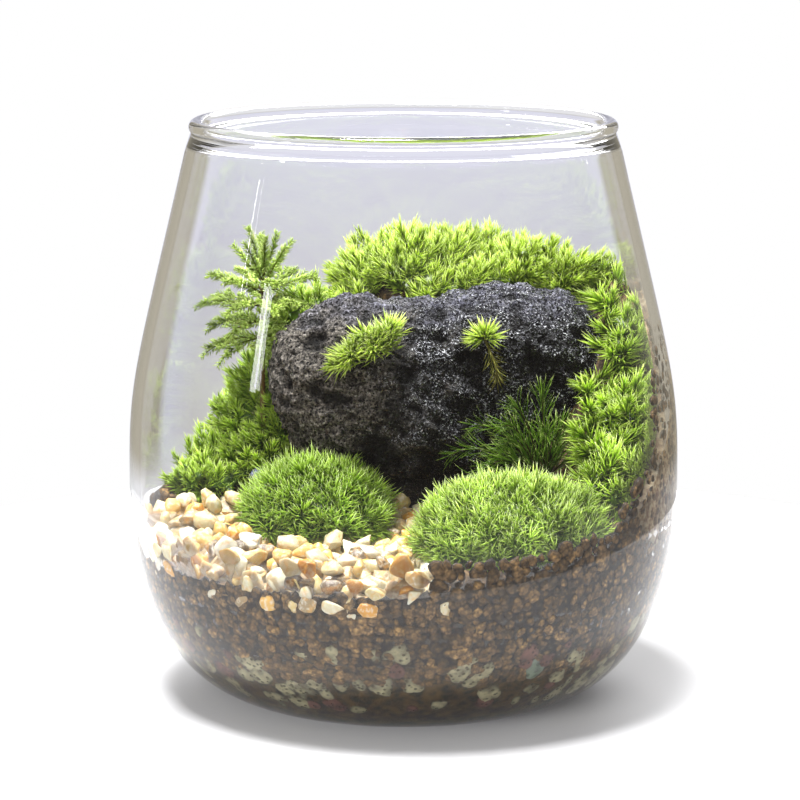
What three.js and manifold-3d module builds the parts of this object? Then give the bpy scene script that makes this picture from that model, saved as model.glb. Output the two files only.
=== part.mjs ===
// Glass plant terrarium: an egg-shaped open glass jar, planted as a small mossy landscape.
// Stones lie on the jar's floor for drainage, and grained brown soil is banked over them, low at the
// front left and high at the back right. Pale gravel covers the low ground. A two-humped black lava
// rock leans on the bank, moss covers the bank, and cushions, tufts and a tree moss stand around it.
//
// Millimetres, +Z up. The origin is the middle of the jar's flat foot, and the view from the front
// looks along +Y, with +X to the right.

import * as THREE from "three";
import { mergeVertices } from "three/addons/utils/BufferGeometryUtils.js";
import Module from "manifold-3d";

const wasm = await Module();
wasm.setup();

const FIT = 0.3; // clearance between two pieces that rest against each other

// The jar
const JAR_HEIGHT = 108.5;
const BELLY_RADIUS = 52;
const BELLY_HEIGHT = 40.5;
const FOOT_RADIUS = 29.5;
const MOUTH_RADIUS = 39.4; // outside the wall, under the rolled rim
const MOUTH_SLOPE = THREE.MathUtils.degToRad(13.5);
const WALL = 2;
const FLOOR = 4;
const RIM_RADIUS = 1.4; // of the rolled rim's section
const RIM_PROUD = 0.65; // how far the rim stands out of the wall
const JAR_SEGMENTS = 36;
const FOOT_ROUNDING = 8.7; // reach of the curve's handle along the floor
const LOWER_HANDLE = 31; // reach of the handle under the belly
const UPPER_HANDLE = 19.5; // and of the one above it
const MOUTH_HANDLE = 49.5;

// The ground
const DRAIN_TOP = 12;
const DRAIN_STONES = 22;
const SOIL_LOW = 28.5;
const SOIL_RISE = 48.5;
const SOIL_SHELF = 7; // a step up where the gravel ends
const SOIL_GRAIN = 0.9; // how far the bank's side is pressed in between grains
const STONE_GRAIN = 3; // and the side of the filling between the drainage stones
const GRAVEL_LOW = 33;
const GRAVEL_RISE = 4; // from the front up to the back edge
const GRAVEL_RIGHT = 7;
const GRAVEL_BACK = 9;
const GRAVEL_BEND = -25; // left of this the back edge runs forwards
const GRAVEL_BEND_SLOPE = 0.3;
const PEBBLE = 6.9;
const GRAVEL_SUNK = 2.2; // how deep the layer lies under the pebbles' tops
const GROUND_SIDE = 110;
const GROUND_CELLS = 15;

// The rock: humps that run into each other
const ROCK_CENTRE = new THREE.Vector3(6, 8, 55);
const ROCK_BLEND = 3.5;
const ROCK_HUMPS = [
  { at: [-9, 6, 58], radii: [16.5, 14, 15.5] },
  { at: [20, 7, 64], radii: [18.5, 14, 11.5] },
  { at: [4, 6, 47.5], radii: [18, 12.5, 12.5] },
  { at: [23, 9, 53], radii: [15, 12, 12] },
];
const ROCK_RIDGE_Y = 13; // moss covers what lies behind this line
const ROCK_BARE_TO_X = 35; // and to the right of this one

// The moss: clumps whose hearts carry bristles, larger than life
const CLUMP_SPACING = 9.4;
const CLUMP_RADII = [7.2, 7.2, 4.8];
const CLUMP_BRISTLE = 3;
const BACK_FROM_Y = 11; // behind this line the moss is the back carpet
const LEFT_TO_X = -13; // left of this line it is the left bank
const RIGHT_FROM_X = 24; // right of this line, before the back carpet, it is the right bank
const CUSHION_FRONT = { at: [-16.4, -8, 32.6], radii: [12.9, 11.6, 10.6], detail: 5, bristle: 2.6 };
const CUSHION_RIGHT = { at: [19.8, -28.6, 33.3], radii: [16.6, 12.2, 10.6], detail: 5, bristle: 2.9 };
const TUFT_LEFT = {
  at: [-6.2, -7.4, 66.2],
  radii: [5.2, 2.5, 2.2],
  detail: 2,
  bristle: 2.8,
  up: [0.2, -0.75, 0.6],
  turn: 0.6,
};
const TUFT_RIGHT = {
  at: [15.2, -7, 68.6],
  radii: [2.2, 2, 1.8],
  detail: 2,
  bristle: 2.9,
  up: [-0.1, -0.7, 0.7],
};
const TUFT_ROOT = [
  [15.4, -7, 68.6],
  [16.6, -8.6, 64],
  [17.2, -8.8, 59.5],
];

// The plants that stand up
const PLUME_AT = new THREE.Vector3(26, -11.5, 41);
const PLUME_SHOOTS = 11;
const PLUME_CLEARING = 6.5; // no moss clump stands nearer than this
const PLUME_LENGTH = 22;
const TREE_AT = new THREE.Vector3(-27.2, 15, 36);
const TREE_WHORLS = [
  { height: 65.5, branches: 6, reach: 12.5, rise: -0.12, droop: 1.6, turn: 0 },
  { height: 70, branches: 6, reach: 13, rise: 0.12, droop: 1.4, turn: 0.15 },
  { height: 74, branches: 6, reach: 12.5, rise: 0.5, droop: 1, turn: -0.1 },
  { height: 76, branches: 5, reach: 10.2, rise: 2.2, droop: 0, turn: 0.5 },
];
const CHIP_AT = [-28.2, 8, 39];
const CHIP_RADII = [2.4, 1.8, 2];
const CHIP_TURN = [0.4, 0.9, 0.2];

const X = new THREE.Vector3(1, 0, 0);
const Y = new THREE.Vector3(0, 1, 0);
const Z = new THREE.Vector3(0, 0, 1);
const BLADE_SIDE = new THREE.Vector3(0.31, 0.93, 0.2); // sets how blades are turned about their length
const MIN_BLADE = 0.42;

// A repeatable stream of numbers from 0 to 1.
function randomStream(seed) {
  let state = seed >>> 0;
  return () => {
    state = (state + 0x6d2b79f5) >>> 0;
    let t = state;
    t = Math.imul(t ^ (t >>> 15), t | 1);
    t ^= t + Math.imul(t ^ (t >>> 7), t | 61);
    return ((t ^ (t >>> 14)) >>> 0) / 4294967296;
  };
}

const smooth = THREE.MathUtils.smoothstep;

// Solids and geometries
function toSolid(geometry) {
  const bare = geometry.clone();
  bare.deleteAttribute("normal");
  bare.deleteAttribute("uv");
  const merged = mergeVertices(bare, 1e-3);
  return new wasm.Manifold(
    new wasm.Mesh({
      numProp: 3,
      vertProperties: new Float32Array(merged.attributes.position.array),
      triVerts: new Uint32Array(merged.index.array),
    }),
  );
}

function toGeometry(solid) {
  const mesh = solid.getMesh();
  const geometry = new THREE.BufferGeometry();
  geometry.setAttribute("position", new THREE.BufferAttribute(mesh.vertProperties, mesh.numProp));
  geometry.setIndex(new THREE.BufferAttribute(mesh.triVerts, 1));
  geometry.computeVertexNormals();
  return geometry;
}

// Joins a list of solids, two halves at a time.
function fuse(solids) {
  if (solids.length === 1) return solids[0];
  const half = solids.length >> 1;
  return fuse(solids.slice(0, half)).add(fuse(solids.slice(half)));
}

// The biggest body of a solid, without the scraps that a cut leaves, also those that hang on by a hair.
function largest(solid) {
  return toSolid(toGeometry(solid))
    .decompose()
    .sort((a, b) => b.volume() - a.volume())[0];
}

function without(solid, ...cutters) {
  return cutters.reduce((left, cutter) => left.subtract(cutter), solid);
}

// A closed box that keeps everything with normal . point above distance.
function halfSpace(normal, distance) {
  const size = 400;
  const box = new THREE.BoxGeometry(size, size, size);
  const turn = new THREE.Quaternion().setFromUnitVectors(Z, normal.clone().normalize());
  box.translate(0, 0, size / 2 + distance);
  box.applyQuaternion(turn);
  return toSolid(box);
}

// The jar's outline from its foot to its mouth, thinner than the outside by inset.
function wallCurve(inset, floor) {
  const radius = BELLY_RADIUS - inset;
  const foot = FOOT_RADIUS - inset * 1.4;
  const mouth = MOUTH_RADIUS - inset;
  const lower = new THREE.CubicBezierCurve(
    new THREE.Vector2(foot, floor),
    new THREE.Vector2(foot + FOOT_ROUNDING, floor),
    new THREE.Vector2(radius, BELLY_HEIGHT - LOWER_HANDLE + floor * 0.8),
    new THREE.Vector2(radius, BELLY_HEIGHT),
  );
  const upper = new THREE.CubicBezierCurve(
    new THREE.Vector2(radius, BELLY_HEIGHT),
    new THREE.Vector2(radius, BELLY_HEIGHT + UPPER_HANDLE),
    new THREE.Vector2(
      mouth + MOUTH_HANDLE * Math.sin(MOUTH_SLOPE),
      JAR_HEIGHT - MOUTH_HANDLE * Math.cos(MOUTH_SLOPE),
    ),
    new THREE.Vector2(mouth, JAR_HEIGHT),
  );
  return [...lower.getPoints(6), ...upper.getPoints(6).slice(1)];
}

function lathe(points) {
  return new THREE.LatheGeometry(points, JAR_SEGMENTS).rotateX(Math.PI / 2);
}

function jar() {
  const rimCentre = new THREE.Vector2(MOUTH_RADIUS + RIM_PROUD - RIM_RADIUS, JAR_HEIGHT - RIM_RADIUS);
  const below = JAR_HEIGHT - 2 * RIM_RADIUS;
  const outside = wallCurve(0, 0).filter((p) => p.y < below);
  const inside = wallCurve(WALL, FLOOR).filter((p) => p.y < below);
  const rim = [];
  for (let step = -1; step <= 5; step += 1) {
    const angle = (step * Math.PI) / 4;
    rim.push(new THREE.Vector2(Math.cos(angle), Math.sin(angle)).multiplyScalar(RIM_RADIUS).add(rimCentre));
  }
  return lathe([
    new THREE.Vector2(0, 0),
    ...outside,
    ...rim,
    ...inside.reverse(),
    new THREE.Vector2(0, FLOOR),
  ]);
}

// The room inside the glass, closed level with the mouth, less a clearance all round.
function cavityGeometry(clearance) {
  const points = wallCurve(WALL + clearance, FLOOR + clearance);
  return lathe([
    new THREE.Vector2(0, FLOOR + clearance),
    ...points,
    new THREE.Vector2(0, JAR_HEIGHT),
  ]);
}

// The same room with a grained side, pressed in here and there where grains meet the glass.
function grainedCavity(depth, seed) {
  const random = randomStream(seed);
  const geometry = cavityGeometry(FIT);
  geometry.deleteAttribute("normal");
  geometry.deleteAttribute("uv");
  const merged = mergeVertices(geometry, 1e-3);
  const at = merged.attributes.position;
  for (let i = 0; i < at.count; i += 1) {
    const reach = Math.hypot(at.getX(i), at.getY(i));
    if (reach < 1) continue;
    const scale = 1 - (depth * random()) / reach;
    at.setXY(i, at.getX(i) * scale, at.getY(i) * scale);
  }
  return toSolid(merged);
}

// How far the jar's room reaches from the axis at a height.
const cavityPoints = wallCurve(WALL + FIT, FLOOR + FIT);
function roomAt(height) {
  for (let i = 1; i < cavityPoints.length; i += 1) {
    const [low, high] = [cavityPoints[i - 1], cavityPoints[i]];
    if (height <= high.y) {
      return THREE.MathUtils.mapLinear(height, low.y, high.y, low.x, high.x);
    }
  }
  return 0;
}

// The soil: low ground at the front left, a bank behind the rock and up the right side.
function bankShare(x, y) {
  const fromLeft = smooth(x, -50, 0);
  const backStart = -2 - 0.28 * Math.min(x, 0);
  const behind = smooth(y, backStart, backStart + 24);
  const toRight = smooth(x, 14, 42);
  const alongRight = smooth(y, -45, 17);
  return fromLeft * behind * (1 - toRight) + toRight * alongRight;
}

function soilTop(x, y) {
  const frontKnoll = 4 * Math.exp(-((x - 21) ** 2 + (y + 37) ** 2) / 200);
  const toShelf = y - gravelBackLine(x);
  const shelf = SOIL_SHELF * smooth(toShelf, -6, 2);
  return SOIL_LOW + shelf + (SOIL_RISE - shelf) * bankShare(x, y) + frontKnoll;
}

function gravelTop(y) {
  return GRAVEL_LOW + GRAVEL_RISE * smooth(y, -25, 10);
}

function gravelBackLine(x) {
  return GRAVEL_BACK + GRAVEL_BEND_SLOPE * Math.min(0, x - GRAVEL_BEND);
}

function onGravel(x, y, margin = 0) {
  return x < GRAVEL_RIGHT - margin && y < gravelBackLine(x) - margin;
}

// An upright block over the gravel's ground plan.
function gravelPlot(clearance, height) {
  const far = -GROUND_SIDE / 2;
  const outline = new THREE.Shape([
    new THREE.Vector2(far, far),
    new THREE.Vector2(GRAVEL_RIGHT + clearance, far),
    new THREE.Vector2(GRAVEL_RIGHT + clearance, GRAVEL_BACK + clearance),
    new THREE.Vector2(GRAVEL_BEND, GRAVEL_BACK + clearance),
    new THREE.Vector2(far, gravelBackLine(far) + clearance),
  ]);
  return toSolid(new THREE.ExtrudeGeometry(outline, { depth: height, bevelEnabled: false }));
}

// A closed slab over the whole ground, between two heights that depend on x and y.
function slab(bottomAt, topAt) {
  const box = new THREE.BoxGeometry(GROUND_SIDE, GROUND_SIDE, 1, GROUND_CELLS, GROUND_CELLS, 1);
  const at = box.attributes.position;
  for (let i = 0; i < at.count; i += 1) {
    const [x, y] = [at.getX(i), at.getY(i)];
    at.setZ(i, at.getZ(i) > 0 ? topAt(x, y) : bottomAt(x, y));
  }
  return toSolid(box);
}

// Everything at or under the soil's surface, raised by clearance: what stands on the soil is cut by it.
function soilBelow(clearance) {
  return slab(
    () => -10,
    (x, y) => soilTop(x, y) + clearance,
  );
}

// The rock's outside, as a distance from its middle along a direction.
function rockField(point) {
  let sum = 0;
  for (const { at, radii } of ROCK_HUMPS) {
    const q = Math.hypot(
      (point.x - at[0]) / radii[0],
      (point.y - at[1]) / radii[1],
      (point.z - at[2]) / radii[2],
    );
    sum += Math.exp(-((q - 1) * Math.min(...radii)) / ROCK_BLEND);
  }
  return -ROCK_BLEND * Math.log(sum);
}

function rockReach(direction) {
  let [near, far] = [0, 60];
  for (let step = 0; step < 24; step += 1) {
    const middle = (near + far) / 2;
    const point = ROCK_CENTRE.clone().addScaledVector(direction, middle);
    if (rockField(point) < 0) near = middle;
    else far = middle;
  }
  return near;
}

// Knobs and hollows on the rock, larger than its pores.
function rockLumps(direction) {
  const { x, y, z } = direction.clone().multiplyScalar(10);
  return (
    0.6 * Math.sin(1.1 * x + 0.7 * y + 0.4) * Math.sin(0.9 * z - 0.5 * x) +
    0.45 * Math.sin(2.3 * y + 1.9 * z + 1.3) * Math.sin(2.1 * x + 0.8) +
    0.3 * Math.sin(3.9 * x - 3.1 * z) * Math.sin(3.7 * y + 2.2)
  );
}

function rock(grow) {
  const ball = new THREE.IcosahedronGeometry(1, 6);
  const at = ball.attributes.position;
  const direction = new THREE.Vector3();
  for (let i = 0; i < at.count; i += 1) {
    direction.fromBufferAttribute(at, i).normalize();
    const reach = rockReach(direction) + rockLumps(direction) + grow * 1.25;
    at.setXYZ(i, ...direction.multiplyScalar(reach).add(ROCK_CENTRE));
  }
  return toSolid(ball);
}

// The height of the rock's top over a point of the ground, or 0 beside the rock.
function rockTop(x, y) {
  const point = new THREE.Vector3(x, y, 90);
  while (point.z > 30) {
    const gap = rockField(point);
    if (gap < 0) return point.z;
    point.z -= Math.max(0.2, gap * 0.6);
  }
  return 0;
}

function onBareRock(x, y) {
  return rockTop(x, y) > soilTop(x, y) && y < ROCK_RIDGE_Y && x < ROCK_BARE_TO_X;
}

// The ground that moss grows on, and the way it faces, leaned towards the light.
function ground(x, y) {
  return Math.max(soilTop(x, y), rockTop(x, y));
}

function groundFacing(x, y) {
  const step = 1.5;
  const slopeX = (ground(x + step, y) - ground(x - step, y)) / (2 * step);
  const slopeY = (ground(x, y + step) - ground(x, y - step)) / (2 * step);
  return new THREE.Vector3(-slopeX, -slopeY, 1).normalize().add(Z).normalize();
}

// Which corners of a ball of triangles are raised: never two side by side.
function peaksOf(ball) {
  const corners = ball.index.array;
  const lowerNeighbours = Array.from({ length: ball.attributes.position.count }, () => []);
  for (let i = 0; i < corners.length; i += 1) {
    const from = corners[i];
    const to = corners[i % 3 === 2 ? i - 2 : i + 1];
    lowerNeighbours[Math.max(from, to)].push(Math.min(from, to));
  }
  const peaks = [];
  lowerNeighbours.forEach((others) => peaks.push(!others.some((other) => peaks[other])));
  return peaks;
}

// A cushion of moss: a heart whose surface rises into pointed bristles all over.
function cushion({ at, radii, detail, bristle, up = [0, 0, 1], turn = 0, grow = 0 }) {
  const ball = new THREE.IcosahedronGeometry(1, detail);
  ball.deleteAttribute("normal");
  ball.deleteAttribute("uv");
  const merged = mergeVertices(ball, 1e-3);
  const peaks = peaksOf(merged);
  const size = new THREE.Vector3(...radii);
  const heart = size.clone().addScalar(grow);
  const position = merged.attributes.position;
  for (let i = 0; i < position.count; i += 1) {
    const direction = new THREE.Vector3().fromBufferAttribute(position, i).normalize();
    const outward = direction.clone().divide(size).normalize();
    const point = direction.clone().multiply(heart);
    if (peaks[i]) point.addScaledVector(outward, bristle + grow);
    position.setXYZ(i, point.x, point.y, point.z);
  }
  merged.rotateZ(turn);
  merged.applyQuaternion(new THREE.Quaternion().setFromUnitVectors(Z, new THREE.Vector3(...up).normalize()));
  return toSolid(merged.translate(...at));
}

// Whether a cushion stands over a point, with room for a pebble beside it.
function under({ at, radii, bristle }, x, y) {
  const reach = bristle + PEBBLE * 0.25;
  return Math.hypot((x - at[0]) / (radii[0] + reach), (y - at[1]) / (radii[1] + reach)) < 1;
}

// Where clumps of moss stand: scattered over all ground that is neither gravel, bare rock nor planted.
function clumpPlaces() {
  const random = randomStream(11);
  const found = [];
  for (let dart = 0; dart < 5000; dart += 1) {
    const x = (random() - 0.5) * 2 * BELLY_RADIUS;
    const y = (random() - 0.5) * 2 * BELLY_RADIUS;
    const turn = random() * Math.PI;
    const at = new THREE.Vector3(x, y, ground(x, y) - 1);
    if (onBareRock(x, y) || onGravel(x, y, -CLUMP_RADII[0] * 0.6)) continue;
    if (Math.hypot(x, y) > roomAt(at.z + CLUMP_BRISTLE) - 2) continue;
    if (under(CUSHION_RIGHT, x, y)) continue;
    if (Math.hypot(x - PLUME_AT.x, y - PLUME_AT.y) < PLUME_CLEARING) continue;
    if (found.some((other) => other.at.distanceTo(at) < CLUMP_SPACING)) continue;
    found.push({ at, turn, up: groundFacing(x, y) });
  }
  return found;
}

// The clumps of one stretch of moss, kept inside its bounds and the jar, and clear of its neighbours.
function mossStretch(wanted, bounds, cutters) {
  const clumps = places
    .filter(({ at }) => wanted(at.x, at.y))
    .map(({ at, turn, up }) =>
      cushion({
        at: at.toArray(),
        radii: CLUMP_RADII,
        detail: 2,
        bristle: CLUMP_BRISTLE,
        up: up.toArray(),
        turn,
      }),
    );
  const kept = bounds.reduce((left, bound) => left.intersect(bound), fuse(clumps));
  return largest(without(kept.intersect(room), ...cutters));
}

// A three-sided body along a curve through a few points, with a radius for each of its rings.
function blade(points, rings, radiusAt) {
  const curve = new THREE.CatmullRomCurve3(points);
  const body = new THREE.CylinderGeometry(1, 1, 1, 3, rings);
  const at = body.attributes.position;
  for (let i = 0; i < at.count; i += 1) {
    const share = at.getY(i) + 0.5;
    const radius = radiusAt(Math.round(share * rings), share);
    const tangent = curve.getTangentAt(share);
    const across = new THREE.Vector3().crossVectors(tangent, BLADE_SIDE).normalize();
    const over = new THREE.Vector3().crossVectors(across, tangent);
    const point = curve.getPointAt(share);
    point.addScaledVector(across, at.getX(i) * radius).addScaledVector(over, at.getZ(i) * radius);
    at.setXYZ(i, point.x, point.y, point.z);
  }
  return toSolid(body);
}

// The brown root that hangs from the right tuft.
function tuftRoot() {
  const points = TUFT_ROOT.map((point) => new THREE.Vector3(...point));
  return blade(points, 4, (ring, share) => 1.3 - 0.7 * share);
}

// The radius of a feathered shoot at a ring: leaves stand out at every second ring, less towards the tip.
function feathered(widest, grow) {
  return (ring, share) => {
    const leafy = ring % 2 ? widest * (1.1 - 0.45 * share) : widest * 0.5;
    return Math.max(MIN_BLADE, leafy) + grow;
  };
}

// The dark plume moss: long feathered shoots that fan out of one root.
function plume(grow) {
  const random = randomStream(23);
  const solids = [toSolid(new THREE.IcosahedronGeometry(3 + grow, 1).translate(...PLUME_AT))];
  for (let shoot = 0; shoot < PLUME_SHOOTS; shoot += 1) {
    const share = shoot / (PLUME_SHOOTS - 1);
    const fan = THREE.MathUtils.lerp(-1.2, 0.75, share);
    const length = PLUME_LENGTH * (0.9 + 0.2 * random()) - 3 * Math.abs(fan);
    const out = new THREE.Vector3(Math.sin(fan), -0.1 - 0.3 * random(), Math.cos(fan)).normalize();
    const middle = PLUME_AT.clone().addScaledVector(out, length * 0.55).addScaledVector(Z, 1.2);
    const tip = PLUME_AT.clone().addScaledVector(out, length).addScaledVector(Z, -1.5);
    solids.push(blade([PLUME_AT, middle, tip], 8, feathered(1.15, grow)));
  }
  return fuse(solids);
}

// The tree moss: a thin stem with whorls of feathered branches, the top one steep.
function treeMoss(grow) {
  const random = randomStream(5);
  const top = TREE_WHORLS.at(-1).height;
  const stemTop = new THREE.Vector3(TREE_AT.x, TREE_AT.y, top + 1);
  const bend = new THREE.Vector3(TREE_AT.x - 0.4, TREE_AT.y, (TREE_AT.z + top) / 2);
  const solids = [blade([TREE_AT, bend, stemTop], 4, () => 0.95 + grow)];
  for (const { height, branches, reach, rise, droop, turn } of TREE_WHORLS) {
    for (let branch = 0; branch < branches; branch += 1) {
      const angle = (branch / branches) * 2 * Math.PI + turn + 0.2 * (random() - 0.5);
      const length = reach * (0.88 + 0.24 * random());
      const out = new THREE.Vector3(Math.cos(angle), Math.sin(angle), rise).normalize();
      const root = new THREE.Vector3(TREE_AT.x, TREE_AT.y, height + random());
      const middle = root.clone().addScaledVector(out, length * 0.5);
      const tip = root.clone().addScaledVector(out, length).addScaledVector(Z, -droop);
      solids.push(blade([root, middle, tip], 6, feathered(1.15, grow)));
    }
  }
  return fuse(solids);
}

// A rough stone of few faces.
function stone(at, radii, turn, detail = 0) {
  const body = new THREE.IcosahedronGeometry(1, detail).scale(...radii);
  body.applyQuaternion(new THREE.Quaternion().setFromEuler(new THREE.Euler(...turn)));
  return toSolid(body.translate(...at));
}

// The drainage layer: stones round the wall, on a filling that ties them.
function drainage() {
  const random = randomStream(3);
  const solids = [];
  for (let i = 0; i < DRAIN_STONES; i += 1) {
    const angle = ((i + random() * 0.4) / DRAIN_STONES) * 2 * Math.PI;
    const turn = [random() * 3, random() * 3, random() * 3];
    const size = 3.1 + random() * 0.8;
    const height = FLOOR + FIT + size * (1 + 0.3 * random());
    const reach = roomAt(height - 2) - size;
    solids.push(
      stone([reach * Math.cos(angle), reach * Math.sin(angle), height], [size, size * 0.85, size], turn),
    );
  }
  const filling = grainedCavity(STONE_GRAIN, 7).subtract(halfSpace(Z, DRAIN_TOP));
  return largest(fuse([filling, fuse(solids)]).intersect(room).subtract(halfSpace(Z, DRAIN_TOP)));
}

// The layer of gravel that the pebbles are set in, from below the soil's surface.
function gravelLayer(clearance) {
  const layer = slab(
    () => SOIL_LOW - 10,
    (x, y) => gravelTop(y) - GRAVEL_SUNK + clearance,
  );
  return layer.intersect(gravelPlot(clearance, JAR_HEIGHT));
}

// The gravel: a thin bed with pebbles set in it, larger than life.
function gravelBed(cushions, cutters) {
  const random = randomStream(19);
  const bed = gravelLayer(0).intersect(room);
  const pebbles = [];
  for (let row = -12; row < 6; row += 1) {
    for (let column = -12; column < 3; column += 1) {
      const x = (column + (row & 1) / 2) * PEBBLE + (random() - 0.5) * 1.2;
      const y = row * PEBBLE * 0.866 + (random() - 0.5) * 1.2;
      const turn = [random() * 3, random() * 3, random() * 3];
      const size = PEBBLE * (0.5 + 0.1 * random());
      const z = gravelTop(y) - 1.3;
      if (!onGravel(x, y, size) || Math.hypot(x, y) > roomAt(z) - 1.2) continue;
      if (under(CUSHION_FRONT, x, y) || under(CUSHION_RIGHT, x, y)) continue;
      pebbles.push(stone([x, y, z], [size, size * 0.85, size * 0.75], turn));
    }
  }
  const whole = bed.add(without(fuse(pebbles), ...cushions).intersect(room));
  return largest(without(whole, soilBelow(FIT), ...cutters));
}

// Building the pieces, each cut clear of what it rests on
const room = toSolid(cavityGeometry(FIT));
const places = clumpPlaces();
const rockClear = rock(FIT);
const soilClear = soilBelow(FIT + 0.1);
const bedClear = gravelLayer(FIT);
const treeClear = treeMoss(FIT);
const plumeClear = plume(FIT);
const cushionFrontClear = cushion({ ...CUSHION_FRONT, grow: FIT });
const cushionClear = cushion({ ...CUSHION_RIGHT, grow: FIT });
const chipClear = stone(CHIP_AT, CHIP_RADII.map((radius) => radius + FIT), CHIP_TURN, 1);

const soilBody = grainedCavity(SOIL_GRAIN, 41).intersect(soilBelow(0)).intersect(halfSpace(Z, DRAIN_TOP + FIT));
const split = FIT / 2;
const backOf = halfSpace(Y, BACK_FROM_Y + split);
const frontOf = halfSpace(Y.clone().negate(), -BACK_FROM_Y + split);
const rightOf = halfSpace(X, LEFT_TO_X + split);
const leftOf = halfSpace(X.clone().negate(), -LEFT_TO_X + split);
const isLeft = (x, y) => x < LEFT_TO_X && y > 0;
const isBack = (x, y) => !isLeft(x, y) && y >= BACK_FROM_Y;
const isRight = (x, y) => x > RIGHT_FROM_X && !isBack(x, y);
const gravelEdge = gravelPlot(FIT, GRAVEL_LOW + GRAVEL_RISE + 2);

const solids = {
  drainage_stones: drainage(),
  soil_bank: without(soilBody, rockClear, treeClear),
  gravel_bed: gravelBed([cushionFrontClear, cushionClear], [rockClear, chipClear]),
  lava_rock: rock(0),
  dark_chip: without(stone(CHIP_AT, CHIP_RADII, CHIP_TURN, 1), rockClear),
  moss_left_bank: mossStretch(isLeft, [leftOf], [soilClear, rockClear, treeClear, gravelEdge, chipClear]),
  moss_back_carpet: mossStretch(isBack, [rightOf, backOf], [soilClear, rockClear, treeClear]),
  moss_right_bank: mossStretch(isRight, [frontOf], [soilClear, rockClear, plumeClear, cushionClear]),
  moss_cushion_front: without(cushion(CUSHION_FRONT), soilClear, bedClear, rockClear),
  moss_cushion_right: without(cushion(CUSHION_RIGHT).intersect(room), soilClear, bedClear, rockClear, plumeClear),
  moss_tuft_left: without(cushion(TUFT_LEFT), rockClear),
  moss_tuft_right: without(cushion(TUFT_RIGHT).add(tuftRoot()), rockClear),
  plume_moss: without(plume(0).intersect(room), rockClear, soilClear),
  tree_moss: without(treeMoss(0).intersect(room), rockClear),
};

const finish = {
  glass_jar: { color: 0xf2f5f6, roughness: 0.02, metalness: 0, transparent: true, opacity: 0.3 },
  drainage_stones: { color: 0xa59c80, roughness: 0.95, metalness: 0 },
  soil_bank: { color: 0x6b4a32, roughness: 0.95, metalness: 0 },
  gravel_bed: { color: 0xe9d5ae, roughness: 0.6, metalness: 0 },
  lava_rock: { color: 0x2b2929, roughness: 0.7, metalness: 0 },
  dark_chip: { color: 0x4b4d5c, roughness: 0.6, metalness: 0 },
  moss_left_bank: { color: 0x8fb63a, roughness: 0.8, metalness: 0 },
  moss_back_carpet: { color: 0x9cc548, roughness: 0.8, metalness: 0 },
  moss_right_bank: { color: 0x86b034, roughness: 0.8, metalness: 0 },
  moss_cushion_front: { color: 0x6f9f2c, roughness: 0.8, metalness: 0 },
  moss_cushion_right: { color: 0x7dab30, roughness: 0.8, metalness: 0 },
  moss_tuft_left: { color: 0xa4c63c, roughness: 0.8, metalness: 0 },
  moss_tuft_right: { color: 0x98b83a, roughness: 0.8, metalness: 0 },
  plume_moss: { color: 0x3c6e1f, roughness: 0.75, metalness: 0 },
  tree_moss: { color: 0x6f9a3c, roughness: 0.8, metalness: 0 },
};

const geometries = { glass_jar: jar() };
for (const [name, solid] of Object.entries(solids)) geometries[name] = toGeometry(largest(solid));

const terrarium = new THREE.Group();
for (const [name, geometry] of Object.entries(geometries)) {
  const mesh = new THREE.Mesh(geometry, new THREE.MeshStandardMaterial(finish[name]));
  mesh.name = name;
  terrarium.add(mesh);
}

export default terrarium;
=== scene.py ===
# %% [markdown]
# # A glass plant terrarium
#
# The object is an egg-shaped open glass jar, about as big as a fist, planted as a small mossy hill.
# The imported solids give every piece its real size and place. This lesson gives each piece the
# surface of the real one: blown glass, soil grains, quartz pebbles, a porous lava rock and some
# tens of thousands of moss leaves. Lengths are in metres, written as millimetres times MM.

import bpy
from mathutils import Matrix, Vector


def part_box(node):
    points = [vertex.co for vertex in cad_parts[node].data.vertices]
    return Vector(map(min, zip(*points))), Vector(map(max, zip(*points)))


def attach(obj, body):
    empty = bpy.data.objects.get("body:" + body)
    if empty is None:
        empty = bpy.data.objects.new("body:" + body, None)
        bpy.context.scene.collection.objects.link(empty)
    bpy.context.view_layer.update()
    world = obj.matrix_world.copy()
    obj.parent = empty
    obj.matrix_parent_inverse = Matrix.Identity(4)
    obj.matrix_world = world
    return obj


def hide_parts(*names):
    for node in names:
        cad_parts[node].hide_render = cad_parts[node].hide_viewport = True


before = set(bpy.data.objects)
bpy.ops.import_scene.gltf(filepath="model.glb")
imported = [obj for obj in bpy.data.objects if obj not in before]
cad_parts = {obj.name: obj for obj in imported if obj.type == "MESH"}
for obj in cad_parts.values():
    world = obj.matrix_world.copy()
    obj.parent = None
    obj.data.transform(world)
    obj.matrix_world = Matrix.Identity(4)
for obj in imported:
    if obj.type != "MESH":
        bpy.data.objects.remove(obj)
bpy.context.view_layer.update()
print("solids:", len(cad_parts))

# %% What the lesson works with
import math
import random

import bmesh
import bpy
import numpy as np
from mathutils import Matrix, Vector, noise
from mathutils.bvhtree import BVHTree
from mathutils.geometry import interpolate_bezier

MM = 0.001
FULL_TURN = 2 * math.pi
GOLDEN_ANGLE = math.radians(137.5)
UP = Vector((0, 0, 1))
NOISE_SEED = 5  # noise_vector starts from the clock unless a seed is set
noise.seed_set(NOISE_SEED)
scene = bpy.context.scene


def in_scene(name, data):
    """A new object in the scene."""
    made = bpy.data.objects.new(name, data)
    scene.collection.objects.link(made)
    return made


# %% [markdown]
# ## The camera
#
# The photograph is taken from a little above the jar's mouth with a long lens, so the jar's sides
# hardly converge. The camera could be turned until the picture looks right, but the jar's rim and
# foot are two ellipses of known size, and their flatness fixes the height, the tilt and the lens.
# The jar stands a few columns right of the picture's middle, which a small shift takes care of.

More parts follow.
